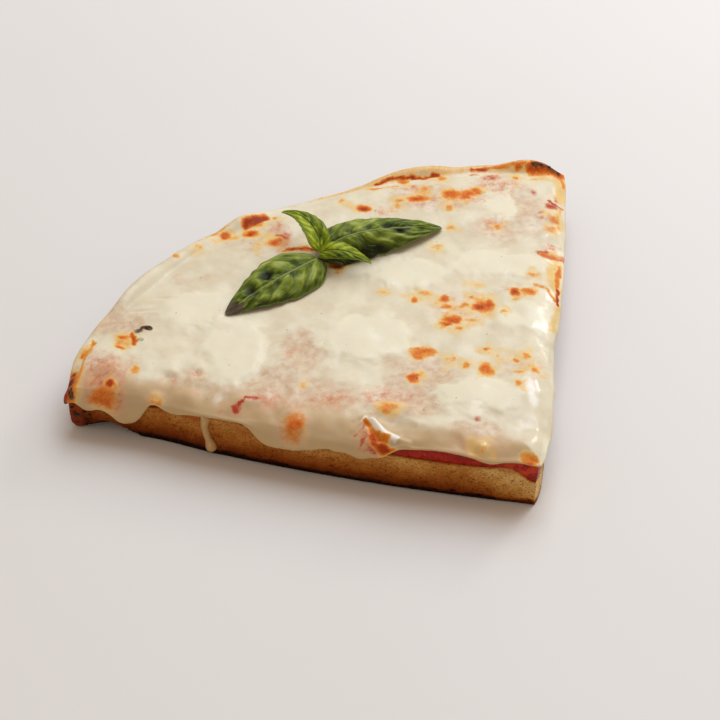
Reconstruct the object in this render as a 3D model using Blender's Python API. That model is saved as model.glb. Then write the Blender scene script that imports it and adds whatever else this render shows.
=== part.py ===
"""A quarter of a thick pan pizza: dough, tomato sauce, melted cheese with drips, and a sprig of basil.

The frame is in metres with +Z up. The slice lies on z = 0 with its tip towards -Y and its crust
towards +Y, and its bisector lies in the YZ plane. Seen from the tip, the left cut is on the -X side.
Sizes below are in millimetres, and solid() turns them into metres.

Every layer is built on one square grid of (i, j): i counts up the left cut, j up the right cut, and
the last row and column lie along the round crust. Because the layers share that grid, the gap
between them is the same everywhere.
"""

import math

import bmesh
import bpy
from mathutils import Vector

MM = 0.001

# The slice in plan
RIM_RADIUS = 184.3
HALF_ANGLE = math.radians(42.7)
TIP_Y = -92.8
LEFT_BOW = 2.3
LEFT_HEEL_IN = 2.4
RIGHT_BOW = 1.8
TIP_BLUNT = 1.5
# Waves of the right cut: distance from the tip, half width and how far out
RIGHT_WAVES = ((60.0, 34.0, -1.2), (114.0, 34.0, 0.9))
CORNER_CUT = 2.6
STEPS = 31
TIP_CROWDING = 1.15

# Directions straight out of the two cuts
LEFT_OUT = Vector((-math.cos(HALF_ANGLE), -math.sin(HALF_ANGLE)))
RIGHT_OUT = Vector((math.cos(HALF_ANGLE), -math.sin(HALF_ANGLE)))

# The layers, bottom to top
GAP = 0.3
DOUGH_HEIGHT = 17.0
HEEL_RADIUS = 5.0
RIM_WIDTH = 10.0
RIM_HEIGHT = 22.8
SAUCE_THICKNESS = 3.3
SAUCE_INSET = 0.15
CHEESE_THICKNESS = 3.7
RIM_CHEESE = 2.0
EDGE_ROLL = 1.5
EDGE_ROLL_WIDTH = 12.0

# The cheese's lip: how far it stands out, at least, for each millimetre it hangs, and at most
LIP_LEAST = 1.0
LIP_PER_DROP = 0.34
LIP_MOST = 3.2
RIM_LIP = 0.7
# Its section: share of the lip outward, and share of the way down from its top to its end
LIP_SECTION = ((0.48, 0.06), (0.86, 0.28), (1.0, 0.60), (0.92, 0.86), (0.55, 1.0), (0.0, 0.90))

# Drips of cheese: distance along the edge, half width and drop
LEFT_DRIPS = (
    (15.0, 4.5, 1.6),
    (62.0, 17.0, 4.6),
    (94.0, 21.0, 8.4),
    (133.0, 12.0, 1.8),
    (156.5, 11.0, 13.0),
    (171.5, 13.0, 6.0),
)
RIGHT_DRIPS = (
    (24.0, 16.0, 3.0),
    (52.0, 20.0, 7.5),
    (84.0, 17.0, 4.5),
    (146.0, 16.0, 5.0),
    (172.0, 12.0, 3.0),
)
CRUST_DRIPS = (
    (20.0, 20.0, 3.0),
    (62.0, 22.0, 5.0),
    (112.0, 24.0, 2.5),
    (150.0, 16.0, 5.5),
    (196.0, 22.0, 3.5),
    (238.0, 18.0, 6.0),
)
# Waves of the crust's rim: bearing in degrees from the bisector, half width and rise
RIM_WAVES = (
    (44.0, 9.0, -4.4),
    (30.0, 8.0, 0.8),
    (22.8, 7.0, 4.4),
    (15.0, 8.0, 3.2),
    (8.5, 6.0, 1.2),
    (3.8, 5.0, 3.8),
    (-7.0, 6.5, -1.8),
    (-12.0, 5.0, -1.7),
    (-21.5, 7.0, 4.1),
    (-27.0, 6.0, 1.6),
    (-33.5, 6.5, 2.4),
    (-39.0, 6.0, 4.8),
    (-44.5, 3.0, -1.6),
)

# Soft swellings and hollows of the cheese: x, y, radius and height
CHEESE_SWELLS = (
    (-20.0, 10.0, 26.0, 1.3),
    (-52.0, 22.0, 20.0, 0.9),
    (-4.0, -24.0, 14.0, -0.9),
    (30.0, 10.0, 24.0, 0.8),
    (6.0, -52.0, 12.0, 1.0),
    (-70.0, 12.0, 12.0, -0.9),
    (48.0, 42.0, 18.0, -0.8),
    (-92.0, 42.0, 16.0, -0.7),
)

# The basil leaves: the midrib's four control points, the widths of the halves on its left and its
# right, and how far each half leans up from the midrib, in degrees, at the leaf's base and its tip.
LEAF_THICKNESS = 0.6
LEAF_LENGTH_STEPS = 10
LEAF_WIDTH_STEPS = 6
LEAVES = {
    "basil_leaf_left": (
        ((-4.8, 44.8, 30.0), (-18.0, 40.0, 33.5), (-37.0, 40.5, 33.0), (-52.3, 39.2, 26.0)),
        (12.0, 16.0),
        ((-34.0, -24.0), (-8.0, -10.0)),
    ),
    "basil_leaf_right": (
        ((-0.4, 47.0, 30.5), (11.0, 46.0, 38.0), (30.0, 37.5, 37.0), (52.5, 35.2, 26.0)),
        (15.0, 13.0),
        ((-16.0, -14.0), (-50.0, -44.0)),
    ),
    "basil_leaf_back": (
        ((-0.6, 48.6, 30.5), (0.6, 53.0, 36.0), (0.6, 62.0, 40.0), (-6.0, 68.3, 38.5)),
        (5.2, 5.2),
        ((26.0, 12.0), (24.0, 10.0)),
    ),
    "basil_leaf_front": (
        ((-3.2, 43.6, 31.0), (-0.2, 39.5, 35.5), (5.0, 33.2, 35.0), (10.1, 30.5, 30.0)),
        (4.2, 3.6),
        ((24.0, 10.0), (4.0, 6.0)),
    ),
}
STEM_FROM = Vector((-2.5, 47.5, 27.0))
STEM_TO = Vector((3.8, 38.6, 26.2))
STEM_RADIUS = 1.0


def ramp(low, high, x):
    """0 below low, 1 above high, and a smooth S between them."""
    k = min(1.0, max(0.0, (x - low) / (high - low)))
    return k * k * (3.0 - 2.0 * k)


def bell(x, centre, half_width):
    """A rounded lobe: 1 at its centre, 0 beyond half_width, and level at both."""
    k = (x - centre) / half_width
    return (1.0 - k * k) ** 2 if abs(k) < 1.0 else 0.0


def ring_radius(ring):
    """Distance from the tip of a ring of grid points: rings lie closer together near the tip."""
    return RIM_RADIUS * (ring / STEPS) ** TIP_CROWDING


def left_bow(reach):
    """How far the left cut bows out at a distance from the tip: out at first, then in at the corner."""
    swell = math.sin(math.pi * min(reach, 128.0) / 128.0)
    return LEFT_BOW * swell - LEFT_HEEL_IN * ramp(122.0, 150.0, reach)


def right_bow(reach):
    """How far the right cut bows out at a distance from the tip: blunt at the tip, wavy after it."""
    blunt = TIP_BLUNT * (1.0 - math.exp(-reach / 3.0)) * (1.0 - ramp(12.0, 60.0, reach))
    waves = sum(out * bell(reach, at, wide) for at, wide, out in RIGHT_WAVES)
    return RIGHT_BOW * math.sin(math.pi * reach / RIM_RADIUS) + blunt + waves


def plan(i, j):
    """Plan position of grid point (i, j): the square's nested L-shaped rows become arcs about the tip."""
    ring = max(i, j)
    share = 0.0 if ring == 0 else (0.5 * j / i if i >= j else 1.0 - 0.5 * i / j)
    radius = ring_radius(ring)
    bearing = HALF_ANGLE * (1.0 - 2.0 * share)
    corner = bell(HALF_ANGLE - abs(bearing), 0.0, math.radians(5.5)) * ramp(160.0, RIM_RADIUS, radius)
    reach = radius - CORNER_CUT * corner
    point = Vector((-math.sin(bearing) * reach, math.cos(bearing) * reach + TIP_Y))
    left_part = left_bow(radius) * (1.0 - share) ** 2
    right_part = right_bow(radius) * share**2
    return point + LEFT_OUT * left_part + RIGHT_OUT * right_part


def polar(point):
    """Distance from the tip, and bearing from the bisector in degrees, positive towards the left cut."""
    return math.hypot(point.x, point.y - TIP_Y), math.degrees(math.atan2(-point.x, point.y - TIP_Y))


def rim_top(bearing):
    """Height of the cheese where it covers the crust's rim."""
    return RIM_HEIGHT + sum(rise * bell(bearing, at, wide) for at, wide, rise in RIM_WAVES)


def dough_top(point):
    """The crumb's top: level, low at the tip, raised at the rim and where the sauce is thin."""
    reach, bearing = polar(point)
    level = DOUGH_HEIGHT - 1.1 * bell(reach, 36.0, 34.0) + 0.9 * bell(reach, 9.0, 9.0)
    level -= 5.6 * (1.0 - ramp(1.0, 11.0, reach))
    level += 2.2 * bell(reach, 122.0, 30.0) * ramp(14.0, 34.0, bearing)
    rim = rim_top(bearing) - RIM_CHEESE - GAP
    return level + (rim - level) * ramp(RIM_RADIUS - RIM_WIDTH, RIM_RADIUS, reach)


def sauce_top(point):
    """The sauce's top: an even spread that stays level where the crumb drops at the tip."""
    reach, _ = polar(point)
    level = DOUGH_HEIGHT + GAP + SAUCE_THICKNESS
    return level + 1.9 * bell(reach, 37.0, 22.0) + 1.7 * bell(reach, 6.5, 11.0)


def cheese_under(point):
    """The cheese's underside: a gap above the sauce or, past the sauce's edge, above the rim."""
    reach, _ = polar(point)
    above_sauce = sauce_top(point) + GAP
    above_crumb = dough_top(point) + GAP
    past_sauce = ramp(ring_radius(STEPS - 1), RIM_RADIUS - 1.0, reach)
    return max(above_crumb, above_sauce + (above_crumb - above_sauce) * past_sauce)


def cheese_top(point):
    """The cheese's upper surface: its thickness on its underside, rolled off at the cuts."""
    reach, bearing = polar(point)
    to_rim = ramp(RIM_RADIUS - 1.6 * RIM_WIDTH, RIM_RADIUS, reach)
    thickness = CHEESE_THICKNESS + (RIM_CHEESE - CHEESE_THICKNESS) * to_rim
    for x, y, wide, rise in CHEESE_SWELLS:
        thickness += rise * bell(math.hypot(point.x - x, point.y - y), 0.0, wide)
    from_cut = reach * math.sin(max(0.0, HALF_ANGLE - math.radians(abs(bearing))))
    roll = EDGE_ROLL * (1.0 - ramp(0.0, EDGE_ROLL_WIDTH, from_cut)) * (1.0 - to_rim)
    return cheese_under(point) + thickness - roll


def drop(along, drips):
    """How far the cheese hangs below its own underside at a distance along an edge."""
    return 0.5 + sum(depth * bell(along, at, wide) for at, wide, depth in drips)


def edge_stations(steps):
    """The border of the grid in order: up the left cut, round the crust and down the right cut."""
    left_cut = [(i, 0) for i in range(steps)]
    crust_left = [(steps, j) for j in range(steps)]
    crust_right = [(i, steps) for i in range(steps, 0, -1)]
    right_cut = [(0, j) for j in range(steps, 0, -1)]
    return left_cut + crust_left + crust_right + right_cut


def hang(i, j):
    """The drop of the cheese at border station (i, j)."""
    if j == 0:
        return drop(ring_radius(i), LEFT_DRIPS)
    if i == 0:
        return drop(ring_radius(j), RIGHT_DRIPS)
    _, bearing = polar(plan(i, j))
    return drop(RIM_RADIUS * (HALF_ANGLE - math.radians(bearing)), CRUST_DRIPS)


def lip(i, j):
    """How far the cheese stands out at border station (i, j): more where it hangs in a drip."""
    if i and j:
        return RIM_LIP
    return min(LIP_MOST, LIP_LEAST + LIP_PER_DROP * hang(i, j))


def outward(points):
    """Outward steps in plan along a closed border that runs clockwise from above.

    A step is 1 long on a straight run and longer at a corner, as in a mitre, so that a border moved
    by a distance keeps that distance from the old one all the way round.
    """
    steps = []
    for k, point in enumerate(points):
        before = (point - points[k - 1]).normalized()
        after = (points[(k + 1) % len(points)] - point).normalized()
        tangent = (before + after).normalized()
        steps.append(Vector((-tangent.y, tangent.x)) / tangent.dot(after))
    return steps


def solid(name, material, vertices, faces):
    """An object from vertices in millimetres and faces, with its material."""
    mesh = bpy.data.meshes.new(name)
    mesh.from_pydata([tuple(v * MM for v in vertex) for vertex in vertices], [], faces)
    mesh.materials.append(material)
    body = bpy.data.objects.new(name, mesh)
    bpy.context.scene.collection.objects.link(body)
    shaper = bmesh.new()
    shaper.from_mesh(mesh)
    bmesh.ops.recalc_face_normals(shaper, faces=shaper.faces)
    shaper.to_mesh(mesh)
    shaper.free()
    mesh.shade_smooth()
    mesh.set_sharp_from_angle(angle=math.radians(40.0))
    return body


def layer(name, material, steps, place, lower, upper, rings):
    """A layer of the slice as one closed solid.

    place gives the plan position of a grid point; lower and upper give the heights of the two faces
    there. rings are closed rows of points round the border, from the upper face to the lower one.
    With lower set to None the underside is one flat face on the last ring.
    """
    columns = steps + 1
    vertices, faces = [], []

    def sheet(height):
        first = len(vertices)
        for i in range(columns):
            for j in range(columns):
                point = place(i, j)
                vertices.append((point.x, point.y, height(i, j)))
        for i in range(steps):
            for j in range(steps):
                corner = first + i * columns + j
                opposite = corner + columns + 1
                faces.append((corner, corner + 1, opposite))
                faces.append((corner, opposite, opposite - 1))
        return [first + i * columns + j for i, j in edge_stations(steps)]

    loops = [sheet(upper)]
    for ring in rings:
        loops.append(list(range(len(vertices), len(vertices) + len(ring))))
        vertices.extend(ring)
    if lower is None:
        faces.append(tuple(loops[-1]))
    else:
        loops.append(sheet(lower))
    count = len(loops[0])
    for high, low in zip(loops, loops[1:]):
        for k in range(count):
            faces.append((high[k], high[(k + 1) % count], low[(k + 1) % count], low[k]))
    return solid(name, material, vertices, faces)


def make_dough(material):
    """The crumb: a raised rim, upright cuts, and a heel rounded where the pan's corner shaped it."""
    stations = edge_stations(STEPS)
    border = [plan(i, j) for i, j in stations]
    away = outward(border)

    def ring(share_up, inset):
        row = []
        for (i, j), point, out in zip(stations, border, away):
            softness = 1.0 if STEPS in (i, j) else 0.2
            moved = point - out * inset * softness
            row.append((moved.x, moved.y, share_up * HEEL_RADIUS * softness))
        return row

    turns = (0.0, math.pi / 6.0, math.pi / 3.0, math.pi / 2.0)
    heel = [ring(1.0 - math.sin(turn), HEEL_RADIUS * (1.0 - math.cos(turn))) for turn in turns]
    return layer("dough", material, STEPS, plan, None, lambda i, j: dough_top(plan(i, j)), heel)


def make_sauce(material):
    """The tomato sauce: one spread from the tip to the foot of the rim, set back a little at the cuts."""

    def set_back(value):
        """A grid function whose values on the two cuts are moved part of the way to the next row in."""

        def moved(i, j):
            if i and j:
                return value(i, j)
            return value(i, j) * (1.0 - SAUCE_INSET) + value(max(i, 1), max(j, 1)) * SAUCE_INSET

        return moved

    place = set_back(plan)
    lower = set_back(lambda i, j: dough_top(plan(i, j)) + GAP)
    upper = set_back(lambda i, j: sauce_top(plan(i, j)))
    return layer("sauce", material, STEPS - 1, place, lower, upper, [])


def make_cheese(material):
    """The melted cheese: a sheet whose thick lip rolls over the cuts and the crust and hangs in drips."""
    stations = edge_stations(STEPS)
    border = [plan(i, j) for i, j in stations]
    away = outward(border)
    rings = []
    for outward_share, down_share in LIP_SECTION:
        ring = []
        for (i, j), point, out in zip(stations, border, away):
            top = cheese_top(point)
            end = cheese_under(point) - hang(i, j)
            moved = point + out * (GAP + lip(i, j) * outward_share)
            ring.append((moved.x, moved.y, top + (end - top) * down_share))
        rings.append(ring)

    def lower(i, j):
        return cheese_under(plan(i, j))

    def upper(i, j):
        return cheese_top(plan(i, j))

    body = layer("cheese", material, STEPS, plan, lower, upper, rings)
    # The underside's border moves out to the lip's inner wall, which clears the cut faces.
    columns = STEPS + 1
    first_under = len(body.data.vertices) - columns * columns
    for (i, j), out in zip(stations, away):
        vertex = body.data.vertices[first_under + i * columns + j]
        vertex.co.x += out.x * GAP * MM
        vertex.co.y += out.y * GAP * MM
    return body


def bezier(points, u):
    """A point on the cubic curve with four control points."""
    a, b, c, d = (Vector(p) for p in points)
    v = 1.0 - u
    return a * v**3 + b * (3.0 * v * v * u) + c * (3.0 * v * u * u) + d * u**3


def leaf_half_width(u):
    """An ovate leaf's outline as a share of its half width: widest below the middle, drawn to a point."""
    return max(0.0, math.sin(math.pi * u**0.82)) ** 0.85 * (1.0 - 0.25 * u)


def make_leaf(name, material, midrib, half_widths, leans):
    """One basil leaf: a thin sheet whose halves lean from an arched midrib, given its thickness."""
    vertices, faces = [], []
    columns = LEAF_WIDTH_STEPS + 1
    for i in range(LEAF_LENGTH_STEPS + 1):
        u = 0.02 + 0.96 * i / LEAF_LENGTH_STEPS
        rib = bezier(midrib, u)
        forward = (bezier(midrib, u + 0.01) - bezier(midrib, u - 0.01)).normalized()
        side = Vector((-forward.y, forward.x, 0.0)).normalized()
        up = forward.cross(side)
        for j in range(columns):
            v = 1.0 - 2.0 * j / LEAF_WIDTH_STEPS
            half = 0 if v > 0.0 else 1
            at_base, at_tip = leans[half]
            lean = math.radians(at_base + (at_tip - at_base) * u)
            reach = half_widths[half] * leaf_half_width(u) * abs(v)
            flat = math.copysign(reach * math.cos(lean), v)
            vertices.append(tuple(rib + side * flat + up * reach * math.sin(lean)))
    for i in range(LEAF_LENGTH_STEPS):
        for j in range(LEAF_WIDTH_STEPS):
            corner = i * columns + j
            faces.append((corner, corner + 1, corner + columns + 1, corner + columns))
    leaf = solid(name, material, vertices, faces)
    wall = leaf.modifiers.new("thickness", "SOLIDIFY")
    wall.thickness = LEAF_THICKNESS * MM
    wall.offset = 0.0
    return leaf


def make_stem(material):
    """The short cut stem that the leaves grow from, lying under them."""
    along = (STEM_TO - STEM_FROM).normalized()
    mesh = bpy.data.meshes.new("basil_stem")
    shaper = bmesh.new()
    bmesh.ops.create_cone(
        shaper,
        cap_ends=True,
        segments=10,
        radius1=STEM_RADIUS * MM,
        radius2=0.8 * STEM_RADIUS * MM,
        depth=(STEM_TO - STEM_FROM).length * MM,
    )
    shaper.to_mesh(mesh)
    shaper.free()
    mesh.materials.append(material)
    stem = bpy.data.objects.new("basil_stem", mesh)
    bpy.context.scene.collection.objects.link(stem)
    stem.location = (STEM_FROM + STEM_TO) / 2.0 * MM
    stem.rotation_mode = "QUATERNION"
    stem.rotation_quaternion = along.to_track_quat("Z", "Y")
    mesh.shade_smooth()
    mesh.set_sharp_from_angle(angle=math.radians(40.0))
    return stem


def finish(name, colour, roughness):
    """A plain material of one colour."""
    material = bpy.data.materials.new(name)
    material.use_nodes = True
    shader = material.node_tree.nodes["Principled BSDF"]
    shader.inputs["Base Color"].default_value = (*colour, 1.0)
    shader.inputs["Roughness"].default_value = roughness
    shader.inputs["Metallic"].default_value = 0.0
    return material


def main():
    for old in list(bpy.data.objects):
        bpy.data.objects.remove(old)
    crumb = finish("crumb", (0.62, 0.42, 0.20), 0.8)
    tomato = finish("tomato_sauce", (0.45, 0.05, 0.02), 0.35)
    cheese = finish("melted_cheese", (0.83, 0.75, 0.55), 0.35)
    basil = finish("basil_green", (0.10, 0.17, 0.03), 0.45)
    make_dough(crumb)
    make_sauce(tomato)
    make_cheese(cheese)
    for name, (midrib, half_widths, leans) in LEAVES.items():
        make_leaf(name, basil, midrib, half_widths, leans)
    make_stem(basil)


main()
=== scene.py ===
# %% [markdown]
# # A slice of deep-pan cheese pizza
# The slice is a quarter of a thick pizza: bread, a spread of tomato sauce, a sheet of melted cheese
# that hangs over the cuts in drips, and a sprig of basil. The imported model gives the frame, and every
# piece made here stands for one of its nodes, in the same place and at the same size.

import itertools
import math

import bpy
import numpy as np
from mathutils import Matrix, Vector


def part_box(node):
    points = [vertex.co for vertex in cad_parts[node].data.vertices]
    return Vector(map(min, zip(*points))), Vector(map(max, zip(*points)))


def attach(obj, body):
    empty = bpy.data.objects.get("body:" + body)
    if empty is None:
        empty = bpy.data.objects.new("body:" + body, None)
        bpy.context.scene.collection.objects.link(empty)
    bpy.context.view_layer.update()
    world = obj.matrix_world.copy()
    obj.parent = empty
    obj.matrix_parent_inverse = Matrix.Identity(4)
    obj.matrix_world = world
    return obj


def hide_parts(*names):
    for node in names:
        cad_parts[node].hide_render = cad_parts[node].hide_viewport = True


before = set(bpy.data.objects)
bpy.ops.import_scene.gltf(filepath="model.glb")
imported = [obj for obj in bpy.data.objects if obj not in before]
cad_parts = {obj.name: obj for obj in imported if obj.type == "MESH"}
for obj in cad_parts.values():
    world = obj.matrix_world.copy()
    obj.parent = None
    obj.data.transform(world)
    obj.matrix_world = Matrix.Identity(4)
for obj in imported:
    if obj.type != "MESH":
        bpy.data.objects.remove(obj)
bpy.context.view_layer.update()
MM = 0.001
for node in sorted(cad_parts):
    low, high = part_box(node)
    print(node, [round((b - a) / MM, 1) for a, b in zip(low, high)], "mm")

# %% [markdown]
# ## Curves and noise
# Food has no straight lines, so nearly every size here is eased or scattered. `ramp` is a smooth
# step, `bell` is a smooth bump, and `waves` adds bumps up. `clouds` is noise: random values on a
# lattice, blended between its points and summed at finer and finer scales. Noise that is worked out
# from a point's place gives the same pizza on every run.


# %% Curves
def ramp(low, high, x):
    """0 below low, 1 above high, and the smooth S k*k*(3 - 2k) between; with low above high it falls."""
    k = np.clip((x - low) / (high - low), 0.0, 1.0)
    return k * k * (3.0 - 2.0 * k)


def bell(x, centre, half_width):
    """A rounded lobe (1 - k*k)**2: 1 at its centre and 0 beyond half_width."""
    k = np.clip((x - centre) / half_width, -1.0, 1.0)
    return (1.0 - k * k) ** 2


def waves(x, table):
    """The sum of a bell for each row of a table, which gives its centre, half width and height."""
    return sum(height * bell(x, centre, half_width) for centre, half_width, height in table)


# %% Noise
# Large odd numbers that scramble a cell's three whole numbers and its seed
SCRAMBLE = (73856093, 19349663, 83492791, 2654435761, 1274126177, 2246822519)
KEPT_BITS = 0x7FFFFFFFFFFF
LAST_BITS = 0xFFFFF


def scattered(cells, seed):
    """A random value from 0 to 1 for each whole-numbered cell: its numbers are multiplied and mixed."""
    mixed = cells[..., 0] * SCRAMBLE[0] ^ cells[..., 1] * SCRAMBLE[1] ^ cells[..., 2] * SCRAMBLE[2]
    mixed = (mixed ^ seed * SCRAMBLE[3]) * SCRAMBLE[4] & KEPT_BITS
    mixed = (mixed ^ mixed >> 15) * SCRAMBLE[5] & KEPT_BITS
    return (mixed >> 11 & LAST_BITS) / LAST_BITS


def lattice(points, cell, seed):
    """Smooth noise from 0 to 1: the lattice values at a point's eight corners, blended between them."""
    place = points / cell
    base = np.floor(place).astype(np.int64)
    k = place - base
    k = k * k * (3.0 - 2.0 * k)
    total = np.zeros(len(points))
    for corner in itertools.product((0, 1), repeat=3):
        share = np.where(np.array(corner) == 1, k, 1.0 - k).prod(axis=1)
        total += share * scattered(base + np.array(corner), seed)
    return total


def clouds(points, cell, seed, layers=3):
    """Noise from about -1 to 1, with swellings as large as cell: layers of lattice noise, each half as
    large and half as strong as the last."""
    total = np.zeros(len(points))
    for layer in range(layers):
        total += (lattice(points, cell / 2**layer, seed + layer) * 2.0 - 1.0) / 2**layer
    return total / (2.0 - 0.5 ** (layers - 1)) * 1.6


def laid_flat(x, y):
    """Plan points at height 0, as rows of three."""
    return np.stack((x, y, np.zeros_like(x)), axis=1)


def pits(points, cell, seed):
    """Round pores: 1 at the centre of a pore, 0 at its rim and beyond, one pore of random size a cell."""
    home = np.floor(points / cell).astype(np.int64)
    deepest = np.zeros(len(points))
    for step in itertools.product((-1, 0, 1), repeat=3):
        near = home + np.array(step)
        centre = np.stack([near[:, k] + scattered(near, seed + k) for k in range(3)], axis=1)
        size = 0.16 + 0.42 * scattered(near, seed + 3) ** 2
        away = np.sqrt(((points / cell - centre) ** 2).sum(axis=1)) / size
        deepest = np.maximum(deepest, 1.0 - ramp(0.35, 1.0, away))
    return deepest


# %% [markdown]
# ## The slice's outline
# A round pizza is cut into wedges, but a hand-made cut bows a little and the outer corners are
# rounded. A point of the plan is given by its distance from the tip and its share of the way from the
# left cut to the right one. The numbers are the ones the frame was made with.

# %% Outline
RIM_RADIUS = 184.3
HALF_ANGLE = math.radians(42.7)
TIP_Y = -92.8
LEFT_BOW = 2.3
LEFT_BOW_LENGTH = 128.0
LEFT_HEEL_IN = 2.4
LEFT_HEEL_SPAN = (122.0, 150.0)
RIGHT_BOW = 1.8
TIP_BLUNT = 1.5
TIP_BLUNT_SPAN = (12.0, 60.0)
# Waves of the right cut: distance from the tip, half width and how far out
RIGHT_WAVES = ((60.0, 34.0, -1.2), (114.0, 34.0, 0.9))
CORNER_CUT = 2.6
CORNER_ANGLE = math.radians(5.5)
# The frame's layers have this many rings, which crowd towards the tip by this power
STEPS = 31
TIP_CROWDING = 1.15
LEFT_OUT = (-math.cos(HALF_ANGLE), -math.sin(HALF_ANGLE))
RIGHT_OUT = (math.cos(HALF_ANGLE), -math.sin(HALF_ANGLE))


def cut_bows(radius):
    """How far the cuts stand outside straight lines: the left one draws in at its heel, the right waves."""
    swell = np.sin(math.pi * np.minimum(radius, LEFT_BOW_LENGTH) / LEFT_BOW_LENGTH)
    left = LEFT_BOW * swell - LEFT_HEEL_IN * ramp(*LEFT_HEEL_SPAN, radius)
    right = RIGHT_BOW * np.sin(math.pi * np.minimum(radius, RIM_RADIUS) / RIM_RADIUS)
    right = right + TIP_BLUNT * (1.0 - np.exp(-radius / 3.0)) * (1.0 - ramp(*TIP_BLUNT_SPAN, radius))
    return left, right + waves(radius, RIGHT_WAVES)


def spot(radius, share):
    """Plan position: radius turned to its bearing, pulled in at the corners, and bowed at the cuts."""
    radius, share = np.broadcast_arrays(np.asarray(radius, float), np.asarray(share, float))
    bearing = HALF_ANGLE * (1.0 - 2.0 * share)
    at_corner = bell(HALF_ANGLE - abs(bearing), 0.0, CORNER_ANGLE) * ramp(160.0, RIM_RADIUS, radius)
    reach = radius - CORNER_CUT * at_corner
    left, right = cut_bows(radius)
    left, right = left * (1.0 - share) ** 2, right * share**2
    x = -np.sin(bearing) * reach + LEFT_OUT[0] * left + RIGHT_OUT[0] * right
    y = np.cos(bearing) * reach + TIP_Y + LEFT_OUT[1] * left + RIGHT_OUT[1] * right
    return x, y


def polar(x, y):
    """Distance from the tip, and bearing in degrees from the bisector, positive to the left."""
    return np.hypot(x, y - TIP_Y), np.degrees(np.arctan2(-x, y - TIP_Y))


def from_cuts(x, y):
    """Distance to the nearer of the two cuts: that to its straight line, plus its bow."""
    reach, bearing = polar(x, y)
    left, right = cut_bows(reach)
    left = left + reach * np.sin(HALF_ANGLE - np.radians(bearing))
    right = right + reach * np.sin(HALF_ANGLE + np.radians(bearing))
    return np.maximum(0.0, np.minimum(left, right))


# %% [markdown]
# ## The layers' heights
# Each layer lies on the one below it, so its height is the height of that one plus its own
# thickness. The crust's rim rises and dips, and the cheese is thicker where a slice of it melted.

# %% Heights
GAP = 0.3
DOUGH_HEIGHT = 17.0
RIM_WIDTH = 10.0
RIM_HEIGHT = 22.8
SAUCE_THICKNESS = 3.3
CHEESE_THICKNESS = 3.7
RIM_CHEESE = 2.0
EDGE_ROLL = 3.2
EDGE_ROLL_WIDTH = 12.0
BRIM_ROLL = 1.1
BRIM_WIDTH = 6.0
LEAST_CHEESE = 0.5
# Bearing in degrees, half width and rise of each wave of the rim
RIM_WAVES = (
    (44, 9, -4.4), (30, 8, 0.8), (22.8, 7, 4.4), (15, 8, 3.2), (8.5, 6, 1.2), (3.8, 5, 3.8),
    (-7, 6.5, -1.8), (-12, 5, -1.7), (-21.5, 7, 4.1), (-27, 6, 1.6), (-33.5, 6.5, 2.4), (-39, 6, 4.8),
    (-44.5, 3, -1.6),
)
# Distance from the tip, half width and rise of each wave of the bread and of the sauce
DOUGH_WAVES = ((36, 34, -1.1), (9, 9, 0.9))
SAUCE_WAVES = ((37, 22, 1.9), (6.5, 11, 1.7))
# How far the bread drops at the very tip, and how far it rises on the left, towards the crust
TIP_DROP = 5.6
LEFT_RISE = 2.2


def dough_top(x, y):
    """The bread's top: level, low at the tip, raised at the rim and where the sauce is thin."""
    reach, bearing = polar(x, y)
    level = DOUGH_HEIGHT + waves(reach, DOUGH_WAVES) - TIP_DROP * (1.0 - ramp(1.0, 11.0, reach))
    level = level + LEFT_RISE * bell(reach, 122.0, 30.0) * ramp(14.0, 34.0, bearing)
    rim = RIM_HEIGHT + waves(bearing, RIM_WAVES) - RIM_CHEESE - GAP
    return level + (rim - level) * ramp(RIM_RADIUS - RIM_WIDTH, RIM_RADIUS, reach)


def sauce_top(x, y):
    """The sauce's top: an even spread, a little thicker in two places near the tip."""
    reach, _ = polar(x, y)
    return DOUGH_HEIGHT + GAP + SAUCE_THICKNESS + waves(reach, SAUCE_WAVES)


def cheese_under(x, y):
    """The cheese's underside: just above the sauce and, past its edge, just above the rim."""
    reach, _ = polar(x, y)
    above_sauce = sauce_top(x, y) + GAP
    above_bread = dough_top(x, y) + GAP
    past_sauce = ramp(RIM_RADIUS - 7.0, RIM_RADIUS - 1.0, reach)
    return np.maximum(above_bread, above_sauce + (above_bread - above_sauce) * past_sauce)


# %% [markdown]
# ## Meshes from arrays
# A layer is one closed skin: a lid, closed rows of points down its sides, and a floor that ends in a
# fan. `rings_of_faces` joins rows of point numbers, and `make_piece` puts the arrays into a mesh, with
# any values that its material reads, and hides the model's node that it stands for.


# %% Building helpers
def rings_of_faces(rows):
    """Four-sided faces between successive closed rows of point numbers, facing out if the rows run
    clockwise seen from above and go downwards."""
    ahead = np.roll(rows, -1, axis=1)
    return np.stack((rows[:-1], ahead[:-1], ahead[1:], rows[1:]), axis=-1).reshape(-1, 4)


def fan_of_faces(row, centre):
    """Triangles from a closed row of point numbers to one point below it."""
    return np.stack((row, np.roll(row, -1), np.full(len(row), centre)), axis=-1)


def sheet_of_faces(rows, columns):
    """Four-sided faces between the points of a grid of rows * columns points."""
    corner = (np.arange(rows - 1)[:, None] * columns + np.arange(columns - 1)).ravel()
    return np.stack((corner, corner + 1, corner + columns + 1, corner + columns), axis=1)


def new_rows(first, rows, count):
    """Point numbers of rows * count new points, as rows."""
    return first + np.arange(rows * count).reshape(rows, count)


def outward(x, y, smooth):
    """Unit steps out of a closed clockwise border: its tangent turned left, averaged over some points."""
    along_x = np.roll(x, -1) - np.roll(x, 1)
    along_y = np.roll(y, -1) - np.roll(y, 1)
    length = np.hypot(along_x, along_y)
    out_x = round_average(-along_y / length, smooth)
    out_y = round_average(along_x / length, smooth)
    length = np.hypot(out_x, out_y)
    return out_x / length, out_y / length


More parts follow.
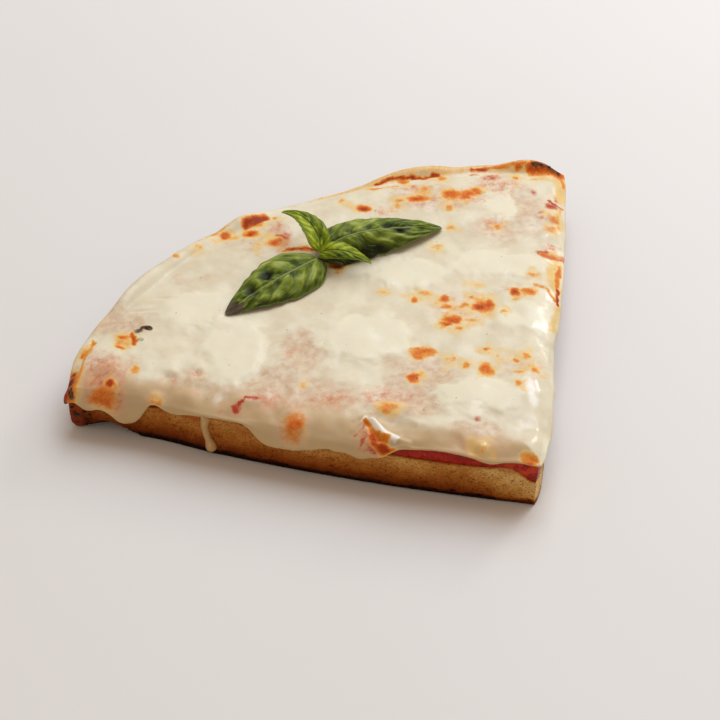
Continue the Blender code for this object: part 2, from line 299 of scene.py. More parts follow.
def round_average(values, reach):
    """Each value of a closed row becomes the mean of its neighbours within reach, taken twice."""
    for _ in range(2):
        values = sum(np.roll(values, k) for k in range(-reach, reach + 1)) / (2 * reach + 1)
    return values


# %% Pieces
def closed_skin(above, wall, below):
    """Points and faces of a layer: a lid's rows from its rim inwards, rows of wall, and a floor's rows."""
    count = wall.shape[1]
    lid = above[:-1].reshape(-1, count, 3)[::-1]
    points = np.concatenate((above[-1:], lid.reshape(-1, 3), wall.reshape(-1, 3), below))
    numbers = new_rows(1, (len(points) - 2) // count, count)
    roof = fan_of_faces(numbers[0], 0)[:, ::-1]
    return points, (rings_of_faces(numbers), roof, fan_of_faces(numbers[-1], len(points) - 1))


def new_object(name, data):
    """A new object in the scene."""
    made = bpy.data.objects.new(name, data)
    bpy.context.scene.collection.objects.link(made)
    return made


def make_piece(name, points, faces, material, slot, node=None, values=None):
    """An object from points in millimetres and arrays of faces, riding on the slice."""
    mesh = bpy.data.meshes.new(name)
    mesh.from_pydata((points * MM).tolist(), [], [face for kind in faces for face in kind.tolist()])
    for key, value in (values or {}).items():
        layer = mesh.attributes.new(key, "FLOAT", "POINT")
        layer.data.foreach_set("value", np.asarray(value, np.float32))
    mesh.materials.append(material)
    mesh.shade_smooth()
    piece = new_object(name, mesh)
    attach(piece, "root")
    if node:
        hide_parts(node)
    size = (points.max(0) - points.min(0)).round(1)
    print(name, len(points), "points", sum(len(f) * (f.shape[1] - 2) for f in faces), "triangles", size)
    return piece


# %% [markdown]
# ## A shader written as sums
# A finish mixes colours by masks, and a mask is arithmetic on noise, height and the values stored on
# the mesh. `Socket` wraps one output of a node, so that `1 - mask * 0.5` adds the Math nodes, and
# `Finish` holds a material and makes every other node.

# %% Shader helpers
def tint(*screen):
    """A colour given as three screen values from 0 to 255, as the linear values a shader works in."""
    share = np.array(screen) / 255.0
    linear = np.where(share < 0.04, share / 12.92, ((share + 0.055) / 1.055) ** 2.4)
    return (*linear.tolist(), 1.0)


class Socket:
    """One output of a node, in an expression."""

    def __init__(self, finish, socket):
        self.finish = finish
        self.socket = socket

    def math(self, operation, *terms):
        return self.finish.node("ShaderNodeMath", {"operation": operation}, dict(enumerate(terms)))

    def __add__(self, other):
        return self.math("ADD", self, other)

    def __sub__(self, other):
        return self.math("SUBTRACT", self, other)

    def __rsub__(self, other):
        return self.math("SUBTRACT", other, self)

    def __mul__(self, other):
        return self.math("MULTIPLY", self, other)

    __radd__ = __add__
    __rmul__ = __mul__

    def larger(self, other):
        """The larger of two values."""
        return self.math("MAXIMUM", self, other)

    def size(self):
        """The value without its sign."""
        return self.math("ABSOLUTE", self)

    def part(self):
        """What is left of the value above the whole number below it."""
        return self.math("FRACT", self)

    def ramp(self, low, high):
        """0 below low, 1 above high, and smooth between them; with low above high it falls instead."""
        kind = {"interpolation_type": "SMOOTHSTEP"}
        start, end, first, last = (low, high, 0.0, 1.0) if low < high else (high, low, 1.0, 0.0)
        return self.finish.node("ShaderNodeMapRange", kind, {0: self, 1: start, 2: end, 3: first, 4: last})


# %% Finishes
class Finish:
    """A material, and the nodes of its colour and gloss."""

    def __init__(self, name):
        self.material = bpy.data.materials.new(name)
        self.material.use_nodes = True
        self.tree = self.material.node_tree
        self.tree.nodes.clear()
        self.place = self.node("ShaderNodeTexCoord", output="Object")

    def node(self, kind, settings=None, inputs=None, output=0):
        """Adds a node: its settings first, then its sockets' values or links; gives one output."""
        made = self.tree.nodes.new(kind)
        for key, value in (settings or {}).items():
            if key == "stops":
                self.set_stops(made.color_ramp, value)
            else:
                setattr(made, key, value)
        for key, value in (inputs or {}).items():
            if isinstance(value, Socket):
                self.tree.links.new(value.socket, made.inputs[key])
            else:
                made.inputs[key].default_value = value
        return None if output is None else Socket(self, made.outputs[output])

    def set_stops(self, band, stops):
        """Puts stops on a colour ramp: a position and three screen values each."""
        while len(band.elements) < len(stops):
            band.elements.new(1.0)
        for element, (position, *screen) in zip(band.elements, stops):
            element.position = position
            element.color = tint(*screen)

    def value(self, name):
        """A value stored on the mesh."""
        return self.node("ShaderNodeAttribute", {"attribute_name": name}, output="Fac")

    def noise(self, size, detail, stretch=None):
        """Noise from 0 to 1 with features of about that size in millimetres."""
        place = self.place
        if stretch:
            place = self.node("ShaderNodeMapping", {}, {"Vector": place, "Scale": stretch})
        inputs = {"Vector": place, "Scale": 1.0 / (size * MM), "Detail": detail}
        return self.node("ShaderNodeTexNoise", {}, inputs)

    def colours(self, value, stops):
        """A colour ramp read at value."""
        return self.node("ShaderNodeValToRGB", {"stops": stops}, {0: value})

    def mix(self, share, first, second):
        """The first colour turned into the second as share goes from 0 to 1."""
        return self.node("ShaderNodeMix", {"data_type": "RGBA"}, {0: share, 6: first, 7: second}, 2)

    def layers(self, colour, *coats):
        """A colour with others laid over it in turn, each given by its share and its colour."""
        for share, coat in coats:
            colour = self.mix(share, colour, coat)
        return colour

    def surface(self, soft=None, **inputs):
        """Ends the material with one Principled shader. Light goes in by the weight, the depth in
        millimetres and the share of that depth for each colour that soft gives."""
        named = {key.replace("_", " "): value for key, value in inputs.items()}
        if soft:
            weight, depth, shares = soft
            named |= {"Subsurface Weight": weight, "Subsurface Scale": depth * MM}
            named["Subsurface Radius"] = shares
        shader = self.node("ShaderNodeBsdfPrincipled", {}, named)
        self.node("ShaderNodeOutputMaterial", {}, {"Surface": shader}, None)
        return self.material

    def bump(self, height, depth, strength):
        """A bent normal: height from 0 to 1 stands for depth millimetres."""
        inputs = {"Height": height, "Distance": depth * MM, "Strength": strength}
        return self.node("ShaderNodeBump", {}, inputs, "Normal")


# %% [markdown]
# ## The melted cheese: its edge
# Cheese melts over the edge of the bread, stands out a little, and runs down in drips that are
# thickest at the bottom. One section, a share of the lip outwards against a share of the way down, is
# carried round the border. Cutting the section's corners twice makes it round.

# %% Drips
LIP_LEAST = 1.0
LIP_PER_DROP = 0.3
LIP_MOST = 3.2
RIM_LIP = 0.7
LEAST_DROP = 0.5
LEAST_HANG = 0.15
LIP_SECTION = ((0.0, 0.0), (0.32, 0.10), (0.68, 0.28), (1.0, 0.64), (0.94, 0.88), (0.55, 1.0), (0.0, 0.90))
# Distance along the edge, half width and drop of each drip
LEFT_DRIPS = (
    (18.7, 5, 1.8), (61, 10, 4.6), (69.5, 8, 4), (79, 8.5, 3.8), (94, 15, 8.6), (104, 6, 1.8),
    (128, 6, 0.8), (138, 8, 2.8), (157, 9.5, 12.4), (164.5, 6, 3), (171.5, 8.5, 7), (180, 9, 5.5),
)
RIGHT_DRIPS = (
    (24, 16, 3), (52, 20, 7.5), (84, 17, 4.5), (146, 16, 5), (172, 12, 3),
)
CRUST_DRIPS = (
    (0, 9, 5), (20, 18, 2.4), (62, 22, 5), (112, 24, 2.5), (150, 16, 5.5), (196, 22, 3.5), (238, 18, 6),
)
# Middle, half width and share of the stretch of the left cut where the cheese ends short of the edge
SHORT = (31.0, 27.0, 0.8)


def drop(along, drips):
    """How far the cheese hangs at a distance along an edge: a little, and (1 - |k|^3)^2 for each drip."""
    total = np.full_like(along, LEAST_DROP)
    for at, wide, depth in drips:
        k = np.clip(abs(along - at) / wide, 0.0, 1.0)
        total += depth * (1.0 - k**3) ** 2
    return total


def rounded(line, times):
    """A line of points with its corners cut: each stretch keeps its middle half, and the ends stay."""
    for _ in range(times):
        near = 0.75 * line[:-1] + 0.25 * line[1:]
        far = 0.25 * line[:-1] + 0.75 * line[1:]
        between = np.stack((near, far), axis=1).reshape(-1, 2)
        line = np.vstack((line[:1], between[1:-1], line[-1:]))
    return line


def evenly(line, count):
    """The same line with its points evenly spaced along it."""
    length = np.concatenate(([0.0], np.cumsum(np.hypot(*np.diff(line, axis=0).T))))
    at = np.linspace(0.0, length[-1], count)
    return np.stack([np.interp(at, length, line[:, k]) for k in range(2)], axis=1)


section = evenly(rounded(np.array(LIP_SECTION), 2), 27)[1:]
print("lip section of", len(section), "points, widest at", section[:, 0].argmax())

# %% [markdown]
# ## The melted cheese: its surface
# The mozzarella went on in slices. Where a slice melted there is a smooth, slightly raised pool, and
# between the pools the sheet is thin and shows lumps of what is under it. The relief is a sum:
# pools with soft edges, lumps scattered mostly along the edges, folds and wrinkles listed one by one, and
# noise. Ovals are measured in a frame turned to run with the slices.

# %% Ovals on the slice
GRAIN = math.radians(-35.0)


def oval(x, y, at_x, at_y, across, deep):
    """How far a point is from an oval's centre: 0 there, 1 on its outline, which runs with the grain."""
    run = ((x - at_x) * math.cos(GRAIN) + (y - at_y) * math.sin(GRAIN)) / across
    side = ((y - at_y) * math.cos(GRAIN) - (x - at_x) * math.sin(GRAIN)) / deep
    return np.hypot(run, side)


def frayed(x, y, seed, wide=1.5, fine=0.7):
    """The same plan points moved a little by noise, so that an oval drawn on them has a ragged edge."""
    flat = laid_flat(x, y)
    moved = [
        part + wide * clouds(flat, 7.0, seed + k) + fine * clouds(flat, 2.4, seed + 5 + k)
        for k, part in enumerate((x, y))
    ]
    return moved[0], moved[1]


def strongest(x, y, ovals, soft=(0.3, 1.6)):
    """At each point the strongest of some ovals, each fading from its centre outwards."""
    most = np.zeros_like(x)
    for at_x, at_y, across, deep, strength in ovals:
        most = np.maximum(most, strength * (1.0 - ramp(*soft, oval(x, y, at_x, at_y, across, deep))))
    return most


# %% Relief of the cheese
# Pools, folds and knobs: x, y, half size with the grain, half size across it, and height
POOLS = (
    (-60, 20.5, 14, 20, 0.9), (-14, -3, 20, 15, 0.8), (24, 20, 17, 11, 0.6), (58, 4, 22, 10, 0.6),
    (2, -55, 17, 10, 0.6), (-56, 47, 20, 13, 0.5), (48, -28, 13, 10, 0.4), (84, 36, 8, 12, 0.5),
)
FOLDS = (
    (-13.5, -76.3, 2.2, 2.4, 1.5), (-18.5, -69, 1.6, 2.6, -0.5), (-62, -27.5, 6, 6, 0.7),
    (-80, 14, 4, 4, 0.6), (-78.5, 16.5, 2, 2, -1), (-69, -7, 6, 3, 0.6), (-67, 64, 4, 1, -0.4),
    (-78, 62, 5, 1, -0.5), (86, 7, 4.5, 3.5, 1.2), (-98, 15, 4, 4, 0.6), (-112, 30, 7, 5, 0.7),
    (-83, 50.5, 3.5, 2.6, 0.6),
)
# Wrinkles: a line of plan points, half width and height of each
WRINKLES = (
    (((-39.3, -40.7), (-37.2, -42.8), (-38, -47.5), (-37.6, -51.8), (-34.2, -58.8)), 2.4, 1.5),
    (((-39.6, -42.4), (-41.2, -49.3), (-40.6, -53.4), (-37.6, -57)), 2.4, -0.9),
    (((-33.7, -43.6), (-31.9, -47.5), (-30.4, -51.7), (-27.6, -57.8)), 4.6, -1.2),
    (((-33, -36.5), (-27.5, -40.5), (-22.5, -46.5)), 4.6, 0.8),
    (((-43.5, -38.2), (-39.6, -37.7), (-36.5, -38.9)), 1.3, 0.4),
    (((-46.4, -41.5), (-43, -40.3), (-40.4, -41.2)), 1.2, 0.4),
    (((-47.4, -45.4), (-44.1, -43.6), (-41.4, -43.9)), 1.2, 0.4),
    (((-47.4, -49.3), (-44.7, -47.6), (-42.2, -47.4)), 1.2, 0.4),
)
LUMPS = 230
LUMP_SEED = 11
LUMPS_MOST = 1.3
# How much of the lumps and of the finer noise a pool hides
POOL_HIDES = 0.85


# %% Height of the relief
def lumps(x, y):
    """Many small swellings: bells of random place and size, strongest within reach of the two cuts."""
    dice = np.random.default_rng(LUMP_SEED)
    radius = RIM_RADIUS * np.sqrt(dice.uniform(0.02, 1.0, LUMPS))
    share = dice.beta(0.55, 0.75, LUMPS)
    at_x, at_y = spot(radius, share)
    size = dice.uniform(3.0, 8.5, LUMPS)
    rise = dice.uniform(0.15, 0.6, LUMPS) * (0.25 + 0.75 * abs(2.0 * share - 1.0) ** 3)
    total = np.zeros_like(x)
    for cx, cy, wide, high in zip(at_x, at_y, size, rise):
        near = (abs(x - cx) < wide) & (abs(y - cy) < wide)
        total[near] += high * bell(np.hypot(x[near] - cx, y[near] - cy), 0.0, wide)
    return np.minimum(total, LUMPS_MOST)


def away_from_line(x, y, line):
    """The least distance from each point to a line of plan points with its corners rounded."""
    line = rounded(np.array(line), 2)
    least = np.full_like(x, np.inf)
    for (ax, ay), (bx, by) in zip(line[:-1], line[1:]):
        length = (bx - ax) ** 2 + (by - ay) ** 2
        k = np.clip(((x - ax) * (bx - ax) + (y - ay) * (by - ay)) / length, 0.0, 1.0)
        least = np.minimum(least, np.hypot(x - ax - k * (bx - ax), y - ay - k * (by - ay)))
    return least


def pooled(x, y):
    """Where a slice of cheese melted: 1 on a pool, 0 off it, soft and wavy at its edge; and its height."""
    bent_x, bent_y = frayed(x, y, 40, 3.2, 0.6)
    covered = np.zeros_like(x)
    height = np.zeros_like(x)
    for at_x, at_y, across, deep, rise in POOLS:
        pool = 1.0 - ramp(0.72, 1.12, oval(bent_x, bent_y, at_x, at_y, across, deep))
        height += rise * pool
        covered = np.maximum(covered, pool)
    return covered, height


def relief(x, y):
    """Height of the cheese's own relief: pools, folds, wrinkles, lumps and three sizes of noise."""
    flat = laid_flat(x, y)
    covered, height = pooled(x, y)
    for at_x, at_y, across, deep, rise in FOLDS:
        height += rise * bell(oval(x, y, at_x, at_y, across * 1.5, deep * 1.5), 0.0, 1.0)
    for line, wide, rise in WRINKLES:
        height += rise * bell(away_from_line(x, y, line), 0.0, wide)
    bare = 1.0 - POOL_HIDES * covered
    height += lumps(x, y) * bare
    height += 0.5 * clouds(flat, 17.0, 3) + 0.13 * clouds(flat, 5.0, 9, 2) * bare
    return height + 0.03 * clouds(flat, 1.9, 15) * bare


def cheese_top(x, y):
    """The cheese's upper surface: its thickness on its underside, rolled off at the cuts, and relief."""
    reach, _ = polar(x, y)
    to_rim = ramp(RIM_RADIUS - 1.6 * RIM_WIDTH, RIM_RADIUS, reach)
    thickness = CHEESE_THICKNESS + (RIM_CHEESE - CHEESE_THICKNESS) * to_rim
    inside = from_cuts(x, y) * (1.0 + 0.45 * clouds(laid_flat(x, y), 11.0, 51, 2))
    roll = EDGE_ROLL * np.clip(1.0 - inside / EDGE_ROLL_WIDTH, 0.0, 1.0) ** 2.5
    brim = BRIM_ROLL * np.clip((reach - RIM_RADIUS + BRIM_WIDTH) / BRIM_WIDTH, 0.0, 1.0) ** 2.5
    spare = thickness - roll - brim + relief(x, y) * (1.0 - 0.6 * to_rim) - LEAST_CHEESE
    lowest = cheese_under(x, y) + LEAST_CHEESE
    return lowest + np.sqrt(0.25 + np.maximum(spare, -2.0) ** 2) / 2.0 + spare / 2.0


# %% Skin of the cheese
CHEESE_STEPS = 240
CENTRE = np.array([0.0, 8.0])
# Shares of the way out at which a lid or a floor has its rows, from the border inwards
INWARDS = (0.985, 0.97, 0.955, 0.94, 0.9, 0.8, 0.65, 0.45, 0.25)


def grid_plan(steps):
    """Plan of a square grid whose nested L-shaped rows become arcs about the tip."""
    k = np.arange(steps + 1) / steps
    i, j = (part.ravel() for part in np.meshgrid(k, k, indexing="ij"))
    share = np.where(i >= j, 0.5 * j / np.maximum(i, 1e-9), 1.0 - 0.5 * i / np.maximum(j, 1e-9))
    return spot(RIM_RADIUS * np.maximum(i, j) ** TIP_CROWDING, share)


def border_numbers(steps):
    """Point numbers of the grid's border: up the left cut, round the crust and down the right cut."""
    k = np.arange(steps)
    columns = steps + 1
    crust = (steps * columns + k, (steps - k) * columns + steps)
    return np.concatenate((k * columns, *crust, steps - k))


def edge_drop(steps):
    """The drop and the lip at each point of the border, eased where one edge meets the next."""
    k = np.arange(steps) / steps
    up = RIM_RADIUS * k**TIP_CROWDING
    down = RIM_RADIUS * (1.0 - k) ** TIP_CROWDING
    round_crust = RIM_RADIUS * HALF_ANGLE * np.arange(2 * steps) / steps
    hang = (drop(up, LEFT_DRIPS), drop(round_crust, CRUST_DRIPS), drop(down, RIGHT_DRIPS))
    lips = [np.minimum(LIP_MOST, LIP_LEAST + LIP_PER_DROP * part) for part in hang]
    short = SHORT[2] * bell(up, *SHORT[:2])
    lips[0] *= 1.0 - short
    hang[0][:] = hang[0] * (1.0 - 0.7 * short)
    lips[1] = np.full(2 * steps, RIM_LIP)
    return round_average(np.concatenate(hang), 2), round_average(np.concatenate(lips), 3)


def sunk(border, shares, height):
    """Rows of points that close a layer: its border drawn in to each share of the way from the centre,
    and the centre itself."""
    rows = [CENTRE + (border - CENTRE) * share for share in shares] + [CENTRE[None]]
    flat = np.concatenate(rows)
    return np.column_stack((flat, height(flat[:, 0], flat[:, 1])))


# %% Mesh of the cheese
def make_cheese_skin():
    """Points and faces of the cheese, and how far down its lip each point is."""
    x, y = grid_plan(CHEESE_STEPS)
    border = border_numbers(CHEESE_STEPS)
    edge_x, edge_y = x[border], y[border]
    out_x, out_y = outward(edge_x, edge_y, 4)
    hang, lip = edge_drop(CHEESE_STEPS)
    top = cheese_top(x, y)
    under = cheese_under(edge_x, edge_y)
    flat = laid_flat(edge_x, edge_y)
    lip = lip * (0.88 + 0.12 * clouds(flat, 9.0, 21))
    ragged = 0.5 * clouds(flat, 11.0, 31) + 0.25 * clouds(flat, 4.0, 33)
    hang = np.maximum(LEAST_HANG, hang + ragged * (0.4 + 0.1 * hang))
    share_out, share_down = section[:, :1], section[:, 1:]
    away = lip * share_out + GAP * ramp(0.0, 0.3, share_down)
    end = under - hang
    height = top[border] + (end - top[border]) * share_down
    front = np.stack((edge_x + out_x * away, edge_y + out_y * away, height), axis=-1)
    height = under + (end - under) * np.linspace(0.75, 0.0, 4)[:, None] * 0.9
    back = np.stack(np.broadcast_arrays(edge_x + out_x * GAP, edge_y + out_y * GAP, height), axis=-1)
    skirt = np.concatenate((front, back))
    below = sunk(flat[:, :2], INWARDS, cheese_under)
    points = np.concatenate((np.column_stack((x, y, top)), skirt.reshape(-1, 3), below))
    numbers = new_rows(len(x), len(skirt) + len(INWARDS), len(border))
    sheet = sheet_of_faces(CHEESE_STEPS + 1, CHEESE_STEPS + 1)
    sides = rings_of_faces(np.vstack((border, numbers)))
    fallen = np.concatenate((np.zeros(len(x)), np.repeat(np.clip(share_down[:, 0], 0, 1), len(border))))
    fallen = np.concatenate((fallen, np.ones(len(points) - len(fallen))))
    return points, (sheet, sides, fan_of_faces(numbers[-1], len(points) - 1)), fallen


cheese_points, cheese_faces, fallen = make_cheese_skin()
print("cheese", cheese_points.min(0).round(2), cheese_points.max(0).round(2))

# %% [markdown]
# ## The melted cheese: its browning
# The oven colours the cheese where it bubbled: gold first, then orange, then red-brown. Elsewhere the
# sauce stains a thin sheet pink, and a few places are charred. White streaks are painted highlights, and
# the left cut's edge, the lips and some thin patches are darkened as painted shade. Each kind is a value
# on the mesh, from 0 to 1, drawn as ovals and lines with frayed edges, and the shader turns the value into
# colour with finer noise, which keeps the edges crisp.

# %% Where it browned
# Each oval: x, y, half size with the grain, half size across it, and strength
TOASTED = (
    (34.5, -12.6, 2.1, 2.3, 0.98), (39.1, -13.8, 2.3, 3.6, 0.82), (36.2, -13.3, 3.6, 4, 0.7),
    (25.9, -1.4, 1.5, 1.8, 0.78), (23.9, -5.7, 1.7, 1.6, 0.72), (35.1, -6.6, 1, 1.3, 0.55),
    (29.8, -8.9, 2.4, 1.2, 0.55), (20.6, -13, 3.6, 2, 0.86), (17.2, -14.2, 1.8, 1.7, 0.82),
    (19.8, -18.9, 1.6, 1.5, 0.6), (27.1, -18.2, 3, 1.5, 0.42), (15.3, 4.8, 1.5, 1.8, 0.68),
    (21.5, 5.1, 3.2, 1.6, 0.42), (42.6, -1.7, 4.4, 1.6, 0.24), (40.6, -21.8, 1.5, 1, 0.46),
    (52.3, -14.2, 1.7, 2.6, 0.94), (57.3, -17, 3.5, 2.3, 0.64), (65.4, -9.6, 2.7, 1.5, 0.44),
    (8.3, 15.8, 3, 1.3, 0.34), (43.2, 28.4, 2.8, 1.6, 0.34), (57.5, 35.1, 2.2, 1.2, 0.42),
    (72.1, 23.9, 1.8, 2.2, 0.46), (71, 54.4, 3.8, 3.3, 0.78), (77.2, 50.2, 3, 2.6, 0.74),
    (74.5, 49.1, 2.6, 1.8, 0.82), (81.6, 50.4, 2.4, 2.4, 0.72), (57.9, 60.1, 4, 2.3, 0.86),
    (50.8, 63.6, 2.8, 0.9, 0.5), (64.4, 64.1, 1.6, 2, 0.52), (64.2, 46.2, 1.5, 2.4, 0.54),
    (47.4, 61.2, 1.2, 2.6, 0.46), (33.9, 67.8, 2.8, 2.3, 0.94), (29.8, 77.1, 1.4, 1.2, 0.5),
    (60.3, 74.9, 2.8, 1.6, 0.68), (75.7, 67.4, 2.4, 1.4, 0.52), (106.7, 52.7, 1.8, 1, 0.92),
    (112.7, 45.3, 4.6, 2.3, 0.66), (101.9, 48.5, 1.5, 1.7, 0.52), (0.3, -22.3, 4.6, 1.8, 0.72),
    (-2.6, -23.2, 2, 1.6, 0.66), (6.1, -31.3, 2, 1.4, 0.42), (8.7, -38.1, 1.5, 2.4, 0.52),
    (12.6, -44.8, 2.2, 3.5, 0.72), (21.1, -35.5, 1.5, 1.1, 0.68), (21.9, -40.1, 1, 1.1, 0.42),
    (26.4, -46.4, 1.2, 1.4, 0.58), (31.8, -47.1, 1.9, 1.9, 0.46), (22.5, -52.8, 2.2, 1.1, 0.48),
    (28.9, -55.2, 1.5, 2, 0.64), (17.9, -59.2, 1.8, 2.6, 0.5), (-11.9, -32.2, 2.1, 2.1, 0.78),
    (2.2, 40.6, 3, 1.4, 1.05), (-13.5, -76.4, 1.9, 1.8, 0.3), (-2.7, -89.8, 2.6, 2.2, 0.66),
    (-29.5, -40.4, 5.2, 2.6, 0.46), (-62.2, -26.3, 3.8, 4.6, 0.5), (-61.4, -26.6, 2.5, 2.6, 0.7),
    (-48.5, -12.1, 1.6, 2.3, 0.34), (-90.3, 51.5, 2.3, 1.1, 0.74), (-94.3, 46.6, 1.7, 1.3, 0.72),
    (-91.8, 49.2, 4, 3.8, 0.36), (97.4, 15, 2.2, 2.6, 0.5), (91.8, 10.8, 1.8, 2.8, 0.44),
    (-96.7, 32, 1.7, 2.4, 0.52), (-112.6, 29.6, 4.4, 3.8, 0.62), (-107.6, 31.8, 1.4, 1.5, 1.05),
    (-98.1, 14.6, 2.4, 3.4, 0.4), (-107.6, 53.6, 1, 2.6, 0.7), (-119.5, 42, 2.4, 4, 0.82),
    (-9.4, 85.2, 3, 1.6, 0.54), (-24.6, 85.5, 2.7, 2.1, 0.84), (-15.2, 80.1, 3.2, 2.2, 0.94),
    (-10.5, 68.3, 2.6, 2.3, 0.84), (0.3, 83.8, 1.3, 1, 0.52), (-17, 70.9, 0.7, 1, 0.42),
    (-2.2, 58.4, 3.2, 1.8, 0.66), (-48.4, 83.9, 1.5, 1.4, 0.52), (-37.9, 85, 2.4, 1.4, 0.3),
)
# Marks along a line, by their kind: plan points, half width and strength
MARKS = {
    "toast": (
        (((-39.6, -41.7), (-39.9, -44.5), (-40.1, -46.8), (-39.7, -49.6), (-38.2, -52)), 1.3, 0.68),
        (((-41.3, -47.8), (-41.6, -51.2), (-40.6, -54.6), (-38.6, -57.2)), 1.6, 0.96),
        (((-13.2, 87.2), (-10, 87.6), (-7, 87.8), (-4.2, 87.4)), 2.5, 1.02),
        (((50.9, 80.9), (54.5, 80.3), (57.8, 79.1), (62.6, 76.6), (67.6, 74), (75, 70.2)), 1, 1),
        (((44.3, 79.4), (49.1, 76.6), (55.5, 73.5)), 0.8, 0.46),
        (((90.1, 65.4), (93.1, 63.4), (95.4, 61.3)), 0.9, 1),
        (((95, 62.2), (101.5, 58.4), (104.7, 56.2), (110.1, 52.4), (113.1, 50.4)), 1.2, 0.62),
        (((104, 45), (111, 40.5), (115.5, 35.5)), 1, 0.3),
        (((121.4, 41), (120, 37), (117.4, 33.4)), 1.3, 0.5),
        (((106, 21.5), (99.6, 14.9), (93.4, 8.4)), 1.2, 0.34),
        (((79.2, -9), (74.8, -13.8), (70.6, -18.6)), 1.1, 0.62),
        (((69.4, -20.2), (66.4, -23.6), (63.6, -26.8)), 0.7, 1.15),
        (((62, -15.6), (64.4, -19), (63.8, -24.4)), 1.2, 0.5),
        (((75.8, 0), (79.4, -3.4), (82.6, -6.2)), 1.2, 0.62),
        (((-101.2, 57.6), (-106, 53), (-111, 48.4), (-115, 43)), 0.8, 0.56),
        (((-87.3, 51), (-88.3, 48.3), (-89.8, 45.4)), 0.9, 0.92),
        (((-9.9, 62), (-5.4, 60), (-1.3, 58.4), (0.3, 55.1)), 1.2, 0.92),
        (((112.6, 49.6), (117, 45.6), (121, 41.6)), 2.6, 0.86),
    ),
    "stain": (
        (((-40.6, -42), (-44.2, -43.2), (-46.5, -43.3)), 0.8, 0.8),
        (((-40.9, -45.6), (-43.6, -46.3), (-45.4, -46.8)), 0.8, 0.8),
        (((-42, -48), (-43.6, -52), (-41.6, -57)), 1.8, 0.8),
        (((75.8, 1), (79.4, -2.6), (83.6, -6)), 2.2, 1),
        (((103, 27.2), (104.4, 24.4), (106.6, 21.6)), 1, 1),
        (((-75.6, -5.2), (-72.8, -5.6), (-69.9, -5.6), (-67.4, -8)), 0.9, 1),
    ),
    # Painted highlights: near-white streaks along the hook's ridge and on glints near the right cut
    "pale": (
        (((-39.8, -40.2), (-37.4, -42.4), (-37.9, -46), (-37.6, -49.6), (-35.8, -53.2)), 1.4, 1),
        (((65.6, -19.6), (63.6, -21.8), (61.8, -24.2)), 1.3, 0.9),
        (((24.6, -56), (21.6, -60.4), (18.6, -65.4), (16, -70.2)), 2, 0.7),
    ),
    "gold": (
        (((81, -3), (76.5, -8.6), (71.8, -14.6), (68.6, -19.6)), 3, 1),
        (((63.2, -27.6), (57.8, -33.2), (52.6, -38.6)), 1.7, 0.9),
        (((-90.6, 51.6), (-92.2, 49.4), (-93.4, 47.2)), 3.2, 1.1),
        (((-10.6, 75.4), (-9.8, 72.7), (-9.4, 70)), 2.4, 1),
        (((5, -27.4), (7.8, -31.5), (9.1, -38)), 2.4, 0.6),
        (((26, -38.3), (28.9, -43.9), (31.2, -49.1)), 2.4, 0.55),
        (((18, 2.6), (21, -2), (26, -8)), 3.4, 0.5), (((29.4, 75.4), (30.6, 72), (31.4, 69)), 3, 0.8),
        (((112, 49), (117.5, 44.3), (119, 40.5), (116.3, 34.3), (110.1, 26.2)), 3.4, 0.95),
    ),
    "char": (
        (((113.4, 49.9), (117.2, 46.4), (119.3, 44), (121, 42)), 1.4, 0.66),
        (((-121, 40.6), (-122.2, 37.4), (-121.4, 34.6)), 1.2, 0.9),
    ),
}
# Where the sauce has stained the cheese
STAINED = (
    (-7.4, 68.5, 3.4, 5.4, 1.05), (-10.4, 68, 2.8, 2.4, 1.2), (-62.4, -26.4, 4.8, 5.6, 1.05),
    (-57.5, -18.5, 4, 3, 0.4), (-112.6, 29.6, 7, 6.2, 0.95), (-98.1, 14.6, 4, 5, 0.5),
    (-75.4, -6.3, 1.7, 1.9, 1), (-68.7, -7.2, 2.6, 1.2, 0.9), (-80.2, -3.7, 2, 1.8, 0.55),
    (-42.4, 7.8, 4.2, 2.4, 0.45), (-36, 13.4, 1.6, 1.8, 0.35), (-78.6, 16.1, 2.2, 2.4, 0.6),
    (-83.5, 8.5, 2, 1.6, 0.5), (-87.2, 18.6, 2.2, 2.4, 0.42), (-44, -47, 3.4, 6, 0.5),
    (-6.7, -64.2, 1.8, 1.5, 0.7), (-18.8, -68.8, 0.9, 2, 0.75), (30.5, -53, 4.4, 3, 0.45),
    (50.4, -10.4, 2.8, 2.2, 0.48), (91.9, 18.4, 1.5, 1.6, 0.7), (96.6, 15.4, 2.8, 3.6, 0.95),
    (101.5, 34.5, 1.6, 2, 0.66), (88.7, 61.6, 2.2, 1.4, 0.7), (93.4, 54.4, 4.8, 2.8, 0.78),
    (84, 1, 5, 3.2, 0.5), (74, 49, 9, 6.5, 0.6), (60, 58, 11, 6, 0.52), (92, 48, 12, 7, 0.5),
    (72, 26, 6, 6.5, 0.52), (62, 67, 11, 4, 0.55), (40, 60, 7, 5, 0.44), (-3, 77, 4.5, 4.5, 0.5),
    (25, -10, 9, 10, 0.42), (102.3, 23.3, 2.6, 2.4, 1), (107.2, 26.3, 1.6, 2.2, 0.85),
    (94.7, 21.6, 1.8, 1.8, 0.7), (91.6, 10.3, 3.2, 3.2, 0.8), (-63.3, -11.6, 9, 6, 0.46),
    (-44.8, -24.4, 10, 6, 0.46), (-24, -40, 10, 6, 0.44), (-108, 46, 6, 9, 0.42),
    (-108, 36, 9, 10, 0.62), (-28, -34, 12, 7, 0.5), (-14, -76, 10, 4, 0.46),
)
